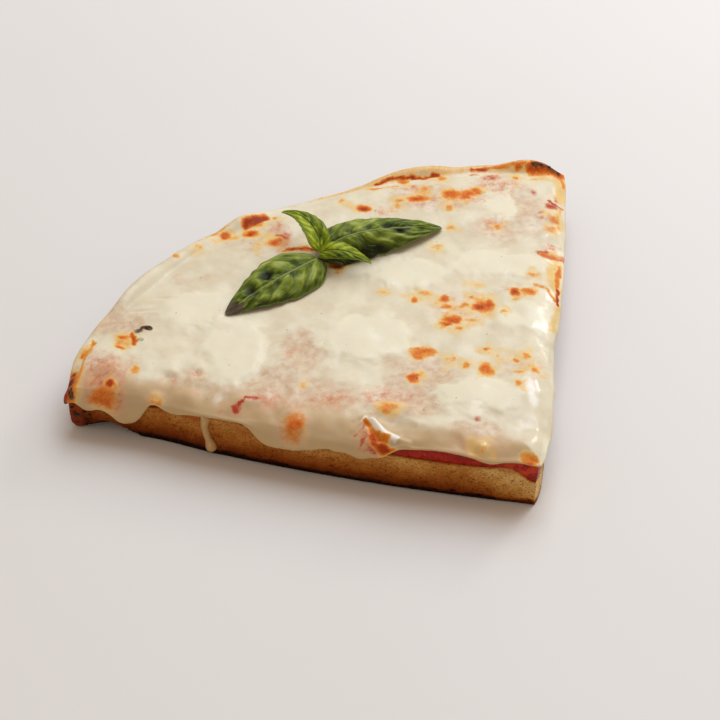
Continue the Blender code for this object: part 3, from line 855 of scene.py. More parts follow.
# Where the sheet is thin and greyish beige; some ovals, such as those by the back-left rim and the tip's
# front edge, are painted shade
THIN_AND_SHADED = (
    (-38, 4, 9, 13, 0.85), (-46, -14, 14, 8, 0.6), (-8, -32, 15, 13, 0.9), (-20, -42, 12, 9, 1),
    (-84, 13, 15, 10, 0.65), (-106, 32, 12, 14, 1), (-28, -44, 9, 7, 0.6), (24, -50, 13, 9, 0.6),
    (62, 56, 26, 9, 0.6), (90, 26, 10, 20, 0.65), (-12, 74, 16, 12, 0.6), (-66, -10, 20, 10, 1),
    (-46, -24, 16, 9, 1), (-54, -4, 8, 9, 0.9), (-12, -72, 14, 8, 1), (-52, 68, 14, 6, 0.4),
    (-88, 62, 14, 9, 0.8), (74, 22, 12, 12, 0.55), (28, -8, 14, 11, 0.45), (-44, -47, 8, 9, 0.7),
)
# What a toasted oval's halo adds to its half sizes, and its share of the oval's strength
HALO = (2.8, 2.8, 0.34)
# The same for its golden halo, with a strength of its own, and the x it has to be right of
GOLD_HALO = (3.0, 3.4, 0.7)
GOLD_FROM = -45.0
# How toasted the rim is at least, how much that wanders, and how much more it is on the right
RIM_TOAST = (0.14, 0.26, 0.2)
# The browned right half of the rim and the charred left corner: where each begins and is complete, as
# distances from the tip and as bearings
RIGHT_BRIM = ((177.0, 181.5), (-4.0, -11.0))
LEFT_CORNER = ((174.0, 181.0), (37.5, 41.0))
# How golden, how stained and how toasted those two are
BRIM_GOLD = 0.8
BRIM_STAIN = 0.5
CORNER_TOAST = 0.95
# Width of the left cut's darkened strip, painted shade with some tan of cheese over bread, and the wave
# that widens it
TAN_AND_SHADE_WIDTH = 15.0
TAN_AND_SHADE_WAVES = ((78.0, 54.0, 10.0),)
# Where the cheese is wet with its own oil
WET = (
    (48, -34, 3.5, 9, 0.6), (25, -60, 5, 9, 0.8), (9, -77, 4, 6, 0.7), (-105, 44.4, 3, 2.4, 0.9),
    (-54, 2, 6, 14, 0.6), (-96, 30, 6, 5, 0.5), (60, -20, 6, 4, 0.6), (86, 14, 5, 8, 0.7),
    (-34, -50, 8, 6, 0.8), (-76, -2, 10, 5, 0.6),
)
# Where it is charred
CHARRED = (
    (-10.6, -33.2, 0.8, 0.8, 0.75), (-81.4, 51, 2.7, 1.5, 0.95), (-84.9, 51.4, 2.4, 1.8, 0.62),
    (-87.1, 46.6, 1.9, 2, 0.5), (37.4, 63, 0.9, 1.2, 0.6), (85, 2.5, 2, 1.4, 0.45),
    (83.4, 46.6, 1, 1, 0.55), (23.4, -58.6, 2, 1.6, 0.34), (28.9, -55.2, 1.4, 1, 0.42),
    (-13.7, -50.2, 0.6, 0.8, 0.55), (-19.3, -49.6, 0.6, 0.8, 0.5),
)


# %% The cheese's values
def cheese_values(points, fallen):
    """The shader's values at the cheese's points: marks on frayed places, faded down the lip."""
    x, y = points[:, :2].T
    reach, bearing = polar(x, y)
    down = 1.0 - 0.75 * ramp(0.35, 0.9, fallen)
    near = frayed(x, y, 60, 0.9, 0.6)
    wide = frayed(x, y, 70, 3.5, 1.0)
    arc = laid_flat(bearing * 3.0, np.zeros_like(x))
    at_rim = ramp(RIM_RADIUS - 2.2, RIM_RADIUS + 0.2, reach + 0.9 * clouds(arc, 7.0, 81))
    halo = [(a, b, c + HALO[0], d + HALO[1], HALO[2] * strength) for a, b, c, d, strength in TOASTED]
    toast = np.maximum(strongest(*near, TOASTED, (0.25, 1.85)), strongest(*wide, halo, (0.3, 1.4)))
    stain = strongest(*near, STAINED, (0.1, 1.9))
    char = strongest(*frayed(x, y, 90, 0.7, 0.6), CHARRED, (0.3, 1.5))
    more, wider, strength = GOLD_HALO
    golden = [(a, b, c + more, d + wider, strength) for a, b, c, d, _ in TOASTED if a > GOLD_FROM]
    gold = strongest(*wide, golden, (0.3, 1.3))
    drawn = {"toast": toast, "stain": stain, "gold": gold, "char": char, "pale": np.zeros_like(x)}
    for kind, marks in MARKS.items():
        for line, half_width, strength in marks:
            mark = strength * (1.0 - ramp(0.3, 1.6, away_from_line(*near, line) / half_width))
            drawn[kind] = np.maximum(drawn[kind], mark)
    drawn = {kind: value * down for kind, value in drawn.items()}
    rim_toast = at_rim * (RIM_TOAST[0] + RIM_TOAST[1] * clouds(arc, 13.0, 83))
    rim_toast = rim_toast + RIM_TOAST[2] * at_rim * ramp(-12.0, -22.0, bearing)
    brim = ramp(*RIGHT_BRIM[0], reach + 1.2 * clouds(arc, 7.0, 93)) * ramp(*RIGHT_BRIM[1], bearing)
    drawn["gold"] = np.maximum(drawn["gold"], BRIM_GOLD * brim)
    drawn["stain"] = np.maximum(drawn["stain"], BRIM_STAIN * brim)
    corner = ramp(*LEFT_CORNER[0], reach + 1.5 * clouds(arc, 9.0, 85)) * ramp(*LEFT_CORNER[1], bearing)
    corner_toast = corner * (CORNER_TOAST + 0.35 * clouds(points, 4.0, 87))
    drawn["toast"] = np.maximum.reduce((drawn["toast"], rim_toast, corner_toast))
    drawn["char"] = np.maximum(drawn["char"], corner * ramp(0.1, 0.5, clouds(points, 3.2, 89)))
    # thin cheese, with its rim, and in some ovals painted shade
    thin = strongest(*wide, THIN_AND_SHADED, (0.2, 1.5)) + 0.25 * at_rim
    pool, _ = pooled(x, y)
    wet = strongest(*wide, WET, (0.3, 1.5)) * down
    # edge: painted shade along the left cut's rolled edge and down its lip, which face away from the light,
    # with some tan of thin cheese over the bread
    inside = from_cuts(x, y) * (1.0 + 0.5 * clouds(points, 9.0, 91)) / (TAN_AND_SHADE_WIDTH + waves(reach, TAN_AND_SHADE_WAVES))
    edge = (1.0 - ramp(0.0, 1.0, inside) * (1.0 - fallen)) * ramp(-4.0, 4.0, bearing)
    return drawn | {"thin": thin, "pool": pool, "wet": wet, "edge": edge, "fallen": fallen}


# %% Cheese finish
TOAST_STOPS = (
    (0.08, 236, 216, 168), (0.24, 236, 198, 124), (0.42, 230, 160, 74), (0.6, 224, 128, 34),
    (0.8, 208, 92, 8), (1, 158, 56, 0),
)
STAIN_STOPS = ((0.1, 230, 196, 170), (0.5, 220, 152, 114), (0.95, 178, 62, 28))


def cheese_finish():
    """Cream over thick cheese, beige where it is thin, stained, toasted and charred over that; painted
    shade on the left edge, down the lips and in some thin patches, and painted highlights in a few white
    streaks.
    """
    finish = Finish("cheese_melt_finish")
    broad, middle, fine = finish.noise(11.0, 3.0), finish.noise(2.6, 4.0), finish.noise(0.9, 3.0)
    toast, fallen, pool = finish.value("toast"), finish.value("fallen"), finish.value("pool")
    cream = finish.mix(broad.ramp(0.35, 0.65), tint(232, 222, 195), tint(223, 210, 180))
    sheer_and_shaded = finish.mix(middle.ramp(0.3, 0.7), tint(224, 202, 172), tint(208, 178, 146))
    thin_and_shade_mask = finish.value("thin") - pool * 0.6 + (broad - 0.5) * 0.6 + (middle - 0.5) * 0.2
    edge = finish.value("edge") + (broad - 0.5) * 0.5
    stain = finish.value("stain") + (middle - 0.5) * 0.9 + (fine - 0.5) * 0.5
    gold = (finish.value("gold") + (middle - 0.5) * 0.7).ramp(0.1, 1.1)
    brown = toast + ((middle - 0.5) * 0.6 + (fine - 0.5) * 0.35) * toast.ramp(0.0, 0.4)
    toasted = finish.mix(stain.ramp(0.3, 0.9) * 0.4, finish.colours(brown, TOAST_STOPS), tint(200, 74, 22))
    char = (finish.value("char") + (middle - 0.5) * 0.5 + (fine - 0.5) * 0.3).ramp(0.32, 0.7)
    colour = finish.layers(
        cream,
        (pool * 0.8, tint(238, 230, 203)),
        # beige of thin cheese, and in some ovals painted shade
        (thin_and_shade_mask.ramp(0.05, 0.8), sheer_and_shaded),
        # painted shade on the left cut's edge and lip, mixed with the tan of thin cheese over the bread
        (edge.ramp(0.05, 0.9) * 0.85, tint(200, 168, 122)),
        # down the lips: painted shade, with the tan of thin cheese over the bread
        (fallen.ramp(0.1, 0.8) * 0.5, tint(206, 176, 118)),
        (stain.ramp(0.08, 0.85), finish.colours(stain, STAIN_STOPS)),
        # painted highlights: near-white streaks
        (finish.value("pale").ramp(0.1, 0.8) * 0.9, tint(252, 246, 234)),
        (gold * 0.85, finish.mix(fine, tint(238, 204, 120), tint(226, 176, 78))),
        (brown.ramp(0.02, 0.4), toasted),
        (char, finish.mix(fine.ramp(0.35, 0.65), tint(40, 26, 12), tint(118, 82, 46))),
    )
    wet = finish.value("wet")
    oily = finish.noise(7.0, 2.0).ramp(0.5, 0.7)
    rough = 0.42 - oily * 0.12 + brown.ramp(0.3, 0.8) * 0.15 + char * 0.2
    gloss = (oily * 0.25 + wet * 0.8) * (1.0 - brown.ramp(0.1, 0.5))
    height = middle * 0.6 + fine * 0.2 + brown.ramp(0.3, 0.9) * fine + wet * middle * 1.6
    return finish.surface(
        Base_Color=colour,
        Roughness=rough,
        Normal=finish.bump(height, 0.14, 0.6),
        soft=(0.25, 2.0, (1.0, 0.6, 0.3)),
        Specular_IOR_Level=0.2,
        Coat_Weight=gloss,
        Coat_Roughness=0.16,
    )


# %% Cheese
browned = cheese_values(cheese_points, fallen)
make_piece("cheese_melt", cheese_points, cheese_faces, cheese_finish(), "melted_cheese", "cheese", browned)

# %% [markdown]
# ## The bread
# The cuts show the crumb: fine pores, a few large ones, and a thin browned skin at the bottom, where
# the dough met the oiled pan. The crust's wall is that skin alone. Rows of points run down the wall
# from the bread's top to a rounded heel, close enough together to sink each pore into the mesh.

# %% Form of the bread
CUT_POINTS = 470
CRUST_POINTS = 360
WALL_ROWS = 40
HEEL_ROWS = 6
HEEL_RADIUS = 5.0
CUT_SOFTNESS = 0.2
# Middle, half width and rise of the arch where the cut's foot is drawn up beside the corner
ARCH = (167.0, 15.0, 5.4)


def wedge_border(radius, cut_points, crust_points, inset=0.0):
    """The slice's border as a closed clockwise row: plan, steps outwards, and 1 on the crust's side."""
    up = radius * np.arange(cut_points) / cut_points
    across = np.arange(crust_points) / crust_points
    share = np.concatenate((np.zeros(cut_points), across, np.ones(cut_points)))
    reach = np.concatenate((up, np.full(crust_points, radius), radius - up))
    x, y = spot(reach, share)
    on_crust = round_average((reach == radius).astype(float), 3)
    out_x, out_y = outward(x, y, 3)
    return x - out_x * inset, y - out_y * inset, out_x, out_y, on_crust


def bread_texture(points, on_crust):
    """How far the wall's skin is sunk, in millimetres: pores in the crumb, and wrinkles on the crust."""
    stretched = points * np.array([1.0, 1.0, 1.5])
    pores = 0.75 * pits(stretched, 2.1, 101) + 1.1 * pits(stretched, 4.6, 111) ** 2
    coarse = 0.16 * clouds(points, 1.3, 121, 2)
    swell = 0.35 * clouds(points, 9.0, 131)
    crumb = pores * (0.75 + 0.25 * clouds(points, 8.0, 141)) + coarse - swell
    crust = 0.3 * clouds(points, 6.0, 151) + 0.12 * clouds(points, 1.6, 161) + 0.5 * pits(points, 9.0, 171)
    return crumb * (1.0 - on_crust) + crust * on_crust


# %% Mesh of the bread
def make_bread_skin():
    """Points and faces of the bread, and a value for how far each point is on the crust's side."""
    x, y, out_x, out_y, on_crust = wedge_border(RIM_RADIUS, CUT_POINTS, CRUST_POINTS)
    count = len(x)
    softness = CUT_SOFTNESS + (1.0 - CUT_SOFTNESS) * on_crust
    heel = HEEL_RADIUS * softness
    top = dough_top(x, y)
    foot = np.zeros(count)
    foot[:CUT_POINTS] = ARCH[2] * bell(RIM_RADIUS * np.arange(CUT_POINTS) / CUT_POINTS, *ARCH[:2])
    down = np.linspace(0.0, 1.0, WALL_ROWS)[:, None]
    wall_z = top + (foot + heel - top) * down
    turn = np.linspace(0.0, math.pi / 2.0, HEEL_ROWS + 1)[1:, None]
    inset = np.concatenate((np.zeros_like(wall_z), heel * (1.0 - np.cos(turn))))
    z = np.concatenate((wall_z, foot + heel * (1.0 - np.sin(turn))))
    places = np.stack((x - out_x * inset, y - out_y * inset, z), axis=-1)
    flat = places.reshape(-1, 3)
    crusty = np.tile(on_crust, len(z))
    sink = bread_texture(flat, crusty).reshape(z.shape)
    sink = np.maximum(sink, -0.25) * ramp(0.0, 1.2, top - z + 0.4) * ramp(0.0, 1.6, z)
    places[..., 0] -= out_x * sink
    places[..., 1] -= out_y * sink
    edge = np.stack((x, y), axis=1)
    above = sunk(edge, INWARDS, dough_top)
    below = sunk(places[-1, :, :2], (0.9, 0.6, 0.3), lambda a, b: np.zeros_like(a))
    crusty = np.concatenate((np.zeros(len(above)), crusty, np.ones(len(below))))
    return *closed_skin(above, places, below), crusty


bread_points, bread_faces, crusty = make_bread_skin()
print("bread", bread_points.min(0).round(2), bread_points.max(0).round(2))


# %% Bread finish
BAKE_STOPS = (
    (0, 240, 206, 144), (0.2, 216, 162, 86), (0.38, 178, 108, 40), (0.58, 138, 64, 12),
    (0.8, 80, 28, 2), (1, 28, 8, 2),
)
# How far each part is baked, along those stops: the crumb and the crust, and what the crumb gains low
# down, in the skin on the pan and beside the left corner
CRUMB_BAKE = 0.27
CRUST_BAKE = 0.66
LOW_BAKE = 0.62
SKIN_BAKE = 0.6
WEDGE_BAKE = 0.3


def bread_values(points, crusty):
    """How far each point of the bread is baked: the crust, the bottom, and the outer part of the cut, with
    painted light on the right cut near the tip.
    """
    x, y, z = points.T
    reach, bearing = polar(x, y)
    left = ramp(20.0, 36.0, bearing)
    wavy = clouds(points * np.array([1.0, 1.0, 2.0]), 12.0, 181)
    outer = ramp(96.0, 140.0, reach + 9.0 * wavy) * left * 0.08
    outer = outer + 0.08 * ramp(150.0, 172.0, reach) * left
    low = 1.0 - np.clip((z + 1.2 * wavy) / 15.0, 0.0, 1.0)
    skin = SKIN_BAKE * (1.0 - ramp(0.2, 3.6, z + 0.8 * clouds(points, 5.0, 191)))
    wedge = ramp(172.0, 181.0, reach) * left
    # Paler near the tip on both cuts, and more on the right cut there, which is painted light on its sunlit
    # sliver
    bake = CRUMB_BAKE + 0.07 * wavy - 0.18 * (1.0 - ramp(6.0, 22.0, reach)) * ramp(4.0, -16.0, bearing)
    bake = bake - 0.12 * (1.0 - ramp(8.0, 30.0, reach)) + LOW_BAKE * low**1.8 * ramp(-6.0, 24.0, reach)
    bake = bake + np.maximum(outer, 0.0) + skin + WEDGE_BAKE * wedge
    crust = CRUST_BAKE + 0.12 * clouds(points, 8.0, 201) + 0.25 * (1.0 - ramp(0.0, 5.0, z))
    bake = bake * (1.0 - crusty) + crust * crusty
    stain = np.maximum(bell(z, 16.6, 2.6) * (1.0 - crusty) * 0.5, 0.9 * wedge)
    return {"bake": bake, "stain": stain, "crusty": crusty}


def bread_finish():
    """Crumb to crust along one ramp of baking, with fine pores darkened as painted shade, and a stain from
    the sauce.
    """
    finish = Finish("bread_finish")
    broad, fine = finish.noise(6.0, 4.0), finish.noise(0.8, 4.0)
    holes = finish.noise(0.8, 2.0, stretch=(1.0, 1.0, 2.2))
    bake = finish.value("bake") + (broad - 0.5) * 0.22 + (fine - 0.5) * 0.2
    # painted shade: fine pores darkened where they dip into the crumb
    painted_pore_shade = holes.ramp(0.58, 0.66) * (1.0 - finish.value("crusty"))
    stain = (finish.value("stain") + (broad - 0.5) * 0.6).ramp(0.2, 0.7)
    coats = ((painted_pore_shade * 0.75, tint(78, 40, 12)), (stain * 0.5, tint(176, 78, 38)))
    colour = finish.layers(finish.colours(bake, BAKE_STOPS), *coats)
    height = fine * 0.7 + (1.0 - painted_pore_shade) * 0.6
    return finish.surface(
        Base_Color=colour,
        Roughness=0.78 - finish.value("crusty") * 0.25,
        Normal=finish.bump(height, 0.35, 0.7),
        Specular_IOR_Level=0.08,
        soft=(0.1, 1.5, (1.0, 0.5, 0.2)),
    )


# %% Bread
baked = bread_values(bread_points, crusty)
make_piece("bread", bread_points, bread_faces, bread_finish(), "crumb", "dough", baked)

# %% [markdown]
# ## The tomato sauce
# The sauce shows as a wet red band along the cut, thickest near the tip, where the cheese ends above
# it. Its edge bulges a little between the bread and the cheese and is lumpy with pulp, so the band is
# a strip of rows with a rounded section, closed by a lid above and below.

# %% Form of the sauce
# The sauce ends one ring short of the rim
SAUCE_RADIUS = RIM_RADIUS * ((STEPS - 1) / STEPS) ** TIP_CROWDING
SAUCE_INSET = 0.75
SAUCE_CUT_POINTS = 400
SAUCE_CRUST_POINTS = 120
SAUCE_ROWS = 14
SAUCE_BULGE = 0.6
SKIN = 0.05


def make_sauce_skin():
    """Points and faces of the sauce: a lid, a bulging band, and a floor."""
    counts = (SAUCE_CUT_POINTS, SAUCE_CRUST_POINTS)
    x, y, out_x, out_y, _ = wedge_border(SAUCE_RADIUS, *counts, SAUCE_INSET)
    low = dough_top(x, y) + SKIN
    high = cheese_under(x, y) - SKIN
    down = np.linspace(0.0, 1.0, SAUCE_ROWS)[:, None]
    z = high + (low - high) * down
    band = np.stack(np.broadcast_arrays(x, y, z), axis=-1)
    pulp = 0.35 * clouds(band.reshape(-1, 3), 3.2, 211) + 0.18 * clouds(band.reshape(-1, 3), 1.2, 221)
    away = SAUCE_BULGE * np.sqrt(np.sin(math.pi * np.clip(down, 0.02, 0.98)))
    away = (away + pulp.reshape(z.shape)) * np.sin(math.pi * np.clip(down, 0.0, 1.0)) ** 0.3
    band[..., 0] += out_x * away
    band[..., 1] += out_y * away
    edge = np.stack((x, y), axis=1)
    above = sunk(edge, INWARDS, lambda a, b: cheese_under(a, b) - SKIN)
    below = sunk(edge, INWARDS, lambda a, b: dough_top(a, b) + SKIN)
    return closed_skin(above, band, below)


def sauce_finish():
    """Deep red with brighter pulp and darker hollows, orange by the tip, wet all over."""
    finish = Finish("tomato_sauce_finish")
    broad, pulp = finish.noise(3.0, 3.0), finish.noise(0.9, 4.0)
    colour = finish.layers(
        finish.mix(broad.ramp(0.3, 0.7), tint(146, 12, 2), tint(178, 32, 4)),
        (pulp.ramp(0.55, 0.75) * 0.6, tint(220, 92, 26)),
        (pulp.ramp(0.42, 0.25), tint(120, 12, 2)),
        (finish.value("bright") * broad.ramp(0.4, 0.6) * 0.7, tint(214, 72, 22)),
    )
    return finish.surface(
        Base_Color=colour,
        Roughness=0.24 + pulp * 0.15,
        Normal=finish.bump(pulp, 0.4, 0.7),
        Specular_IOR_Level=0.2,
        soft=(0.1, 1.0, (1.0, 0.2, 0.1)),
    )


# %% Sauce
sauce_points, sauce_faces = make_sauce_skin()
from_tip, _ = polar(*sauce_points[:, :2].T)
orange = {"bright": 1.0 - ramp(2.0, 22.0, from_tip)}
make_piece("sauce_spread", sauce_points, sauce_faces, sauce_finish(), "tomato_sauce", "sauce", orange)

# %% [markdown]
# ## The basil
# A basil leaf is a thin sheet that bulges between its side veins. It is worked out from two
# parameters: u runs along the midrib from base to tip, and v across it from margin to margin. The
# midrib is a curve with four control points, each half leans away from it by its own angle, and the
# bulges are added along the sheet's own normal. A leaf that would pass through the cheese is lifted
# on to it, so that its margin rests there.

# %% The leaves
LEAF_ROWS = 120
LEAF_COLUMNS = 72
LEAF_THICKNESS = 0.35
LEAF_CLEARANCE = 0.3
LEAN_STEPS = 24
# The part of u that the mesh covers, and how deep the midrib's groove is
LEAF_FROM = 0.012
LEAF_LENGTH = 0.98
GROOVE = 0.25
# A leaf is eased on to the cheese from this far above the place where it would touch it
EASE = 0.6
# Midrib, half widths left and right, how far each half reaches back past the base, lean in degrees
# of each half at five places from base to tip and three from midrib to margin, side veins, bulge
# height, and share from where it wilts
LEAVES = {
    "basil_leaf_left": {
        "midrib": ((-4.8, 44.8, 29.6), (-18, 40, 33), (-37, 40.5, 32.2), (-52.3, 39.2, 25.4)),
        "half_widths": (13, 16),
        "lobes": (2.4, 1),
        "lean_left": ((-14, -26, -52), (-18, -30, -56), (-18, -30, -52), (-16, -24, -36), (-12, -20, -24)),
        "lean_right": ((8, -6, -22), (6, -8, -24), (4, -8, -24), (0, -10, -22), (-4, -12, -18)),
        "veins": 6,
        "bulge": 0.75,
        "wilt": 0.86,
    },
    "basil_leaf_right": {
        "midrib": ((-0.4, 47, 30.2), (11, 46, 37.8), (30.6, 38.6, 35.2), (53.5, 36.7, 24.8)),
        "half_widths": (15, 14.5),
        "lobes": (3, 3),
        "lean_left": ((0, -12, -30), (2, -12, -34), (0, -14, -34), (8, -6, -24), (14, 8, 4)),
        "lean_right": ((-14, -50, -76), (-10, -62, -84), (-12, -64, -84), (-16, -26, -40), (10, 0, -6)),
        "veins": 6.5,
        "bulge": 0.7,
        "wilt": 1.2,
    },
    "basil_leaf_back": {
        "midrib": ((-1.4, 47.2, 30.5), (1, 52, 36), (1.6, 62, 40), (-6.4, 69.3, 38.5)),
        "half_widths": (6.4, 5.8),
        "lobes": (1, 1),
        "lean_left": ((34, 26, 10), (30, 20, 4), (24, 12, -4), (16, 6, -8), (10, 4, -6)),
        "lean_right": ((26, 16, 4), (24, 14, 0), (18, 8, -4), (12, 4, -6), (8, 2, -6)),
        "veins": 5,
        "bulge": 0.3,
        "wilt": 1.2,
    },
    "basil_leaf_front": {
        "midrib": ((-3.4, 44.6, 31), (0.2, 40.5, 36), (5.4, 33.6, 35.4), (11.6, 28.8, 29.6)),
        "half_widths": (6, 4.4),
        "lobes": (1, 1),
        "lean_left": ((30, 18, -4), (26, 12, -10), (20, 6, -14), (14, 4, -12), (10, 4, -8)),
        "lean_right": ((6, -20, -50), (4, -26, -56), (4, -26, -50), (6, -14, -30), (6, 0, -10)),
        "veins": 5,
        "bulge": 0.3,
        "wilt": 1.2,
    },
}
# Deep wells between the veins, also darkened as painted shade: u, v, their half sizes, and depth
WELLS = {
    "basil_leaf_left": (
        (0.51, -0.38, 0.07, 0.24, 2), (0.7, -0.3, 0.056, 0.26, 1.8), (0.44, -0.16, 0.04, 0.12, 1),
        (0.24, -0.2, 0.035, 0.14, 0.9), (0.35, 0.16, 0.03, 0.12, 0.5), (0.5, 0.14, 0.03, 0.12, 0.5),
    ),
    "basil_leaf_right": (
        (0.3, 0.4, 0.045, 0.24, 0.8), (0.46, 0.3, 0.04, 0.18, 0.9), (0.6, 0.22, 0.045, 0.2, 1.2),
        (0.7, -0.18, 0.05, 0.16, 1),
    ),
}
# Patches of painted light and shade, paler or darker than the rest: u, v, their half sizes, and change of
# level
LIT_AND_SHADED_PATCHES = {
    "basil_leaf_left": (
        (0.24, 0.45, 0.16, 0.24, 0.3), (0.62, 0.86, 0.24, 0.16, -0.26), (0.1, -0.55, 0.1, 0.3, 0.26),
        (0.36, -0.86, 0.34, 0.14, 0.36), (0.78, 0.3, 0.1, 0.3, -0.12), (0.3, -0.4, 0.13, 0.26, 0.24),
    ),
    "basil_leaf_right": (
        (0.36, -0.82, 0.26, 0.4, -0.62), (0.2, -0.5, 0.12, 0.14, 0.16), (0.58, -0.42, 0.12, 0.1, 0.34),
        (0.4, 0.45, 0.16, 0.36, 0.26), (0.7, 0.1, 0.08, 0.4, -0.16), (0.12, 0.3, 0.08, 0.5, -0.16),
    ),
    "basil_leaf_back": ((0.45, 0.45, 0.36, 0.3, 0.22), (0.5, -0.4, 0.4, 0.3, -0.14)),
    "basil_leaf_front": ((0.5, -0.6, 0.4, 0.4, -0.24), (0.4, 0.45, 0.3, 0.3, 0.18)),
}


# %% Shape of a leaf
def midrib_point(control, u):
    """The cubic curve a(1-u)^3 + 3b u(1-u)^2 + 3c u^2(1-u) + d u^3 through its control points."""
    a, b, c, d = (np.array(point) for point in control)
    v = 1.0 - u
    return a * v**3 + b * (3.0 * v * v * u) + c * (3.0 * v * u * u) + d * u**3


def leaf_half_width(u):
    """An ovate outline: a sine pushed towards the base, blunt there and drawn to a point at the tip."""
    return np.maximum(0.0, np.sin(math.pi * u**0.68)) ** 0.72 * (1.0 - 0.3 * u)


def lean_at(table, u, across):
    """A leaf's lean read from its table: between five knots of u, then between three of the width."""
    knots = np.linspace(0.0, 1.0, 5)
    inner, middle, outer = (np.interp(u, knots, column) for column in np.array(table, float).T)
    near, far = np.minimum(across * 2.0, 1.0), np.maximum(across * 2.0 - 1.0, 0.0)
    return np.radians(inner + (middle - inner) * near + (outer - middle) * far)


def leaf_sheet(leaf, u, v):
    """The leaf's bare sheet: from the midrib each half runs out in small steps, each at its own lean."""
    rib, behind, ahead = (midrib_point(leaf["midrib"], u[..., None] + k) for k in (0.0, -0.01, 0.01))
    forward = (ahead - behind) / np.linalg.norm(ahead - behind, axis=-1, keepdims=True)
    side = np.stack((-forward[..., 1], forward[..., 0], np.zeros_like(u)), axis=-1)
    side /= np.linalg.norm(side, axis=-1, keepdims=True)
    up = np.cross(forward, side)
    left = v > 0.0
    out = abs(v)
    margin = 1.0 + 0.03 * np.sin(37.0 * u + 2.0 * np.sin(11.0 * u)) * out**4
    reach = np.where(left, *leaf["half_widths"]) * leaf_half_width(u) * margin
    run, rise = np.zeros_like(u), np.zeros_like(u)
    for share in (np.arange(LEAN_STEPS) + 0.5) / LEAN_STEPS:
        leans = (lean_at(leaf[half], u, share * out) for half in ("lean_left", "lean_right"))
        lean = np.where(left, *leans)
        run += np.cos(lean) / LEAN_STEPS
        rise += np.sin(lean) / LEAN_STEPS
    across = side * (np.sign(v) * reach * out * run)[..., None] + up * (reach * out * rise)[..., None]
    back = np.where(left, *leaf["lobes"]) * (1.0 - ramp(0.0, 0.34, u)) * out**1.3
    return rib + across - forward * back[..., None], reach * out


# %% Mesh of a leaf
def bells_on_leaf(u, v, ovals, spread):
    """For each oval of a table over u and v, a bell that ends spread times as far out, and its amount."""
    for at_u, at_v, half_u, half_v, amount in ovals:
        yield bell(np.hypot((u - at_u) / half_u, (v - at_v) / half_v), 0.0, spread), amount


def make_leaf(name, leaf, seed):
    """Points, faces and shader values of one leaf: two sides, its thickness apart, and their margin."""
    rows = LEAF_FROM + LEAF_LENGTH * np.linspace(0.0, 1.0, LEAF_ROWS)
    u, v = np.meshgrid(rows, np.linspace(1.0, -1.0, LEAF_COLUMNS), indexing="ij")
    sheet, reach = leaf_sheet(leaf, u, v)
    normal = np.cross(np.gradient(sheet, axis=0), np.gradient(sheet, axis=1))
    normal /= np.maximum(np.linalg.norm(normal, axis=-1, keepdims=True), 1e-9)
    normal *= np.sign(normal[..., 2:].mean())
    flat = laid_flat((u * 48.0).ravel(), (v * 16.0 + seed * 9.0).ravel())
    wander = 0.25 * clouds(flat, 9.0, 300 + seed).reshape(u.shape)
    vein = leaf["veins"] * (u - 0.3 * abs(v) ** 1.2) + wander + 0.3 * (v > 0.0)
    pocket = np.sin(math.pi * vein) ** 2
    split = 0.6 + 0.4 * np.sin(math.pi * (2.3 * abs(v) + 0.5 * np.floor(vein))) ** 2
    inside = ramp(0.0, 0.14, abs(v)) * (1.0 - ramp(0.72, 1.0, abs(v)))
    inside = inside * ramp(0.0, 0.12, u) * (1.0 - ramp(0.84, 1.0, u))
    puff = pocket * split * inside
    crumple = clouds(flat, 6.0, 310 + seed).reshape(u.shape) * inside
    beads = np.sin(math.pi * 2.6 * vein) ** 2 * bell(abs(v), 0.13, 0.11) * inside
    height = leaf["bulge"] * (puff + 0.6 * crumple + 0.7 * beads) - GROOVE * (1.0 - ramp(0.2, 0.8, reach))
    painted_well_shade = np.zeros_like(u)
    for well, depth in bells_on_leaf(u, v, WELLS.get(name, ()), 1.6):
        height -= depth * well
        # how much each well darkens the colour: painted shade
        painted_well_shade = np.maximum(painted_well_shade, well * depth / 2.1)
    # painted light and shade from the patches
    lit_and_shaded = sum(change * spread for spread, change in bells_on_leaf(u, v, LIT_AND_SHADED_PATCHES[name], 1.5))
    middle = sheet + normal * height[..., None]
    half = normal * LEAF_THICKNESS / 2.0
    rest = cheese_top(middle[..., 0].ravel(), middle[..., 1].ravel()).reshape(u.shape) + LEAF_CLEARANCE
    lift = rest + LEAF_THICKNESS / 2.0 - middle[..., 2]
    eased = np.where(lift < EASE, (lift + EASE) ** 2 / (4.0 * EASE), lift)
    middle[..., 2] += np.where(lift > -EASE, eased, 0.0)
    points = np.concatenate(((middle + half).reshape(-1, 3), (middle - half).reshape(-1, 3)))
    count = u.size
    top = sheet_of_faces(LEAF_ROWS, LEAF_COLUMNS)[:, [0, 3, 2, 1]]
    number = np.arange(count).reshape(u.shape)
    rim = np.concatenate((number[:-1, -1], number[-1, :0:-1], number[:0:-1, 0], number[0, :-1]))
    row = LEAF_ROWS // 2
    if np.cross(sheet[row, 1] - sheet[row, 0], sheet[row + 1, 0] - sheet[row, 0])[2] > 0.0:
        top = top[:, ::-1]
        rim = rim[::-1]
    wall = np.stack((rim, rim + count, np.roll(rim, -1) + count, np.roll(rim, -1)), axis=1)
    values = {
        "vein": vein,
        "from_rib": reach,
        # level: painted light and shade, paler on the bulges, creases and beads, darker in the wells, plus
        # the lit and shaded patches
        "level": 0.3 * (puff + 0.5 * crumple + 0.4 * beads) - 0.8 * painted_well_shade + lit_and_shaded,
        # margin: where a painted highlight runs along the leaf's edge
        "margin": ramp(0.93, 0.99, abs(v)),
        "wilt": ramp(leaf["wilt"] - 0.05, leaf["wilt"] + 0.05, u + 0.05 * crumple),
    }
    values = {key: np.tile(value.ravel(), 2) for key, value in values.items()}
    values["under"] = np.repeat((0.0, 1.0), count)
    return points, (top, top[:, ::-1] + count, wall), values


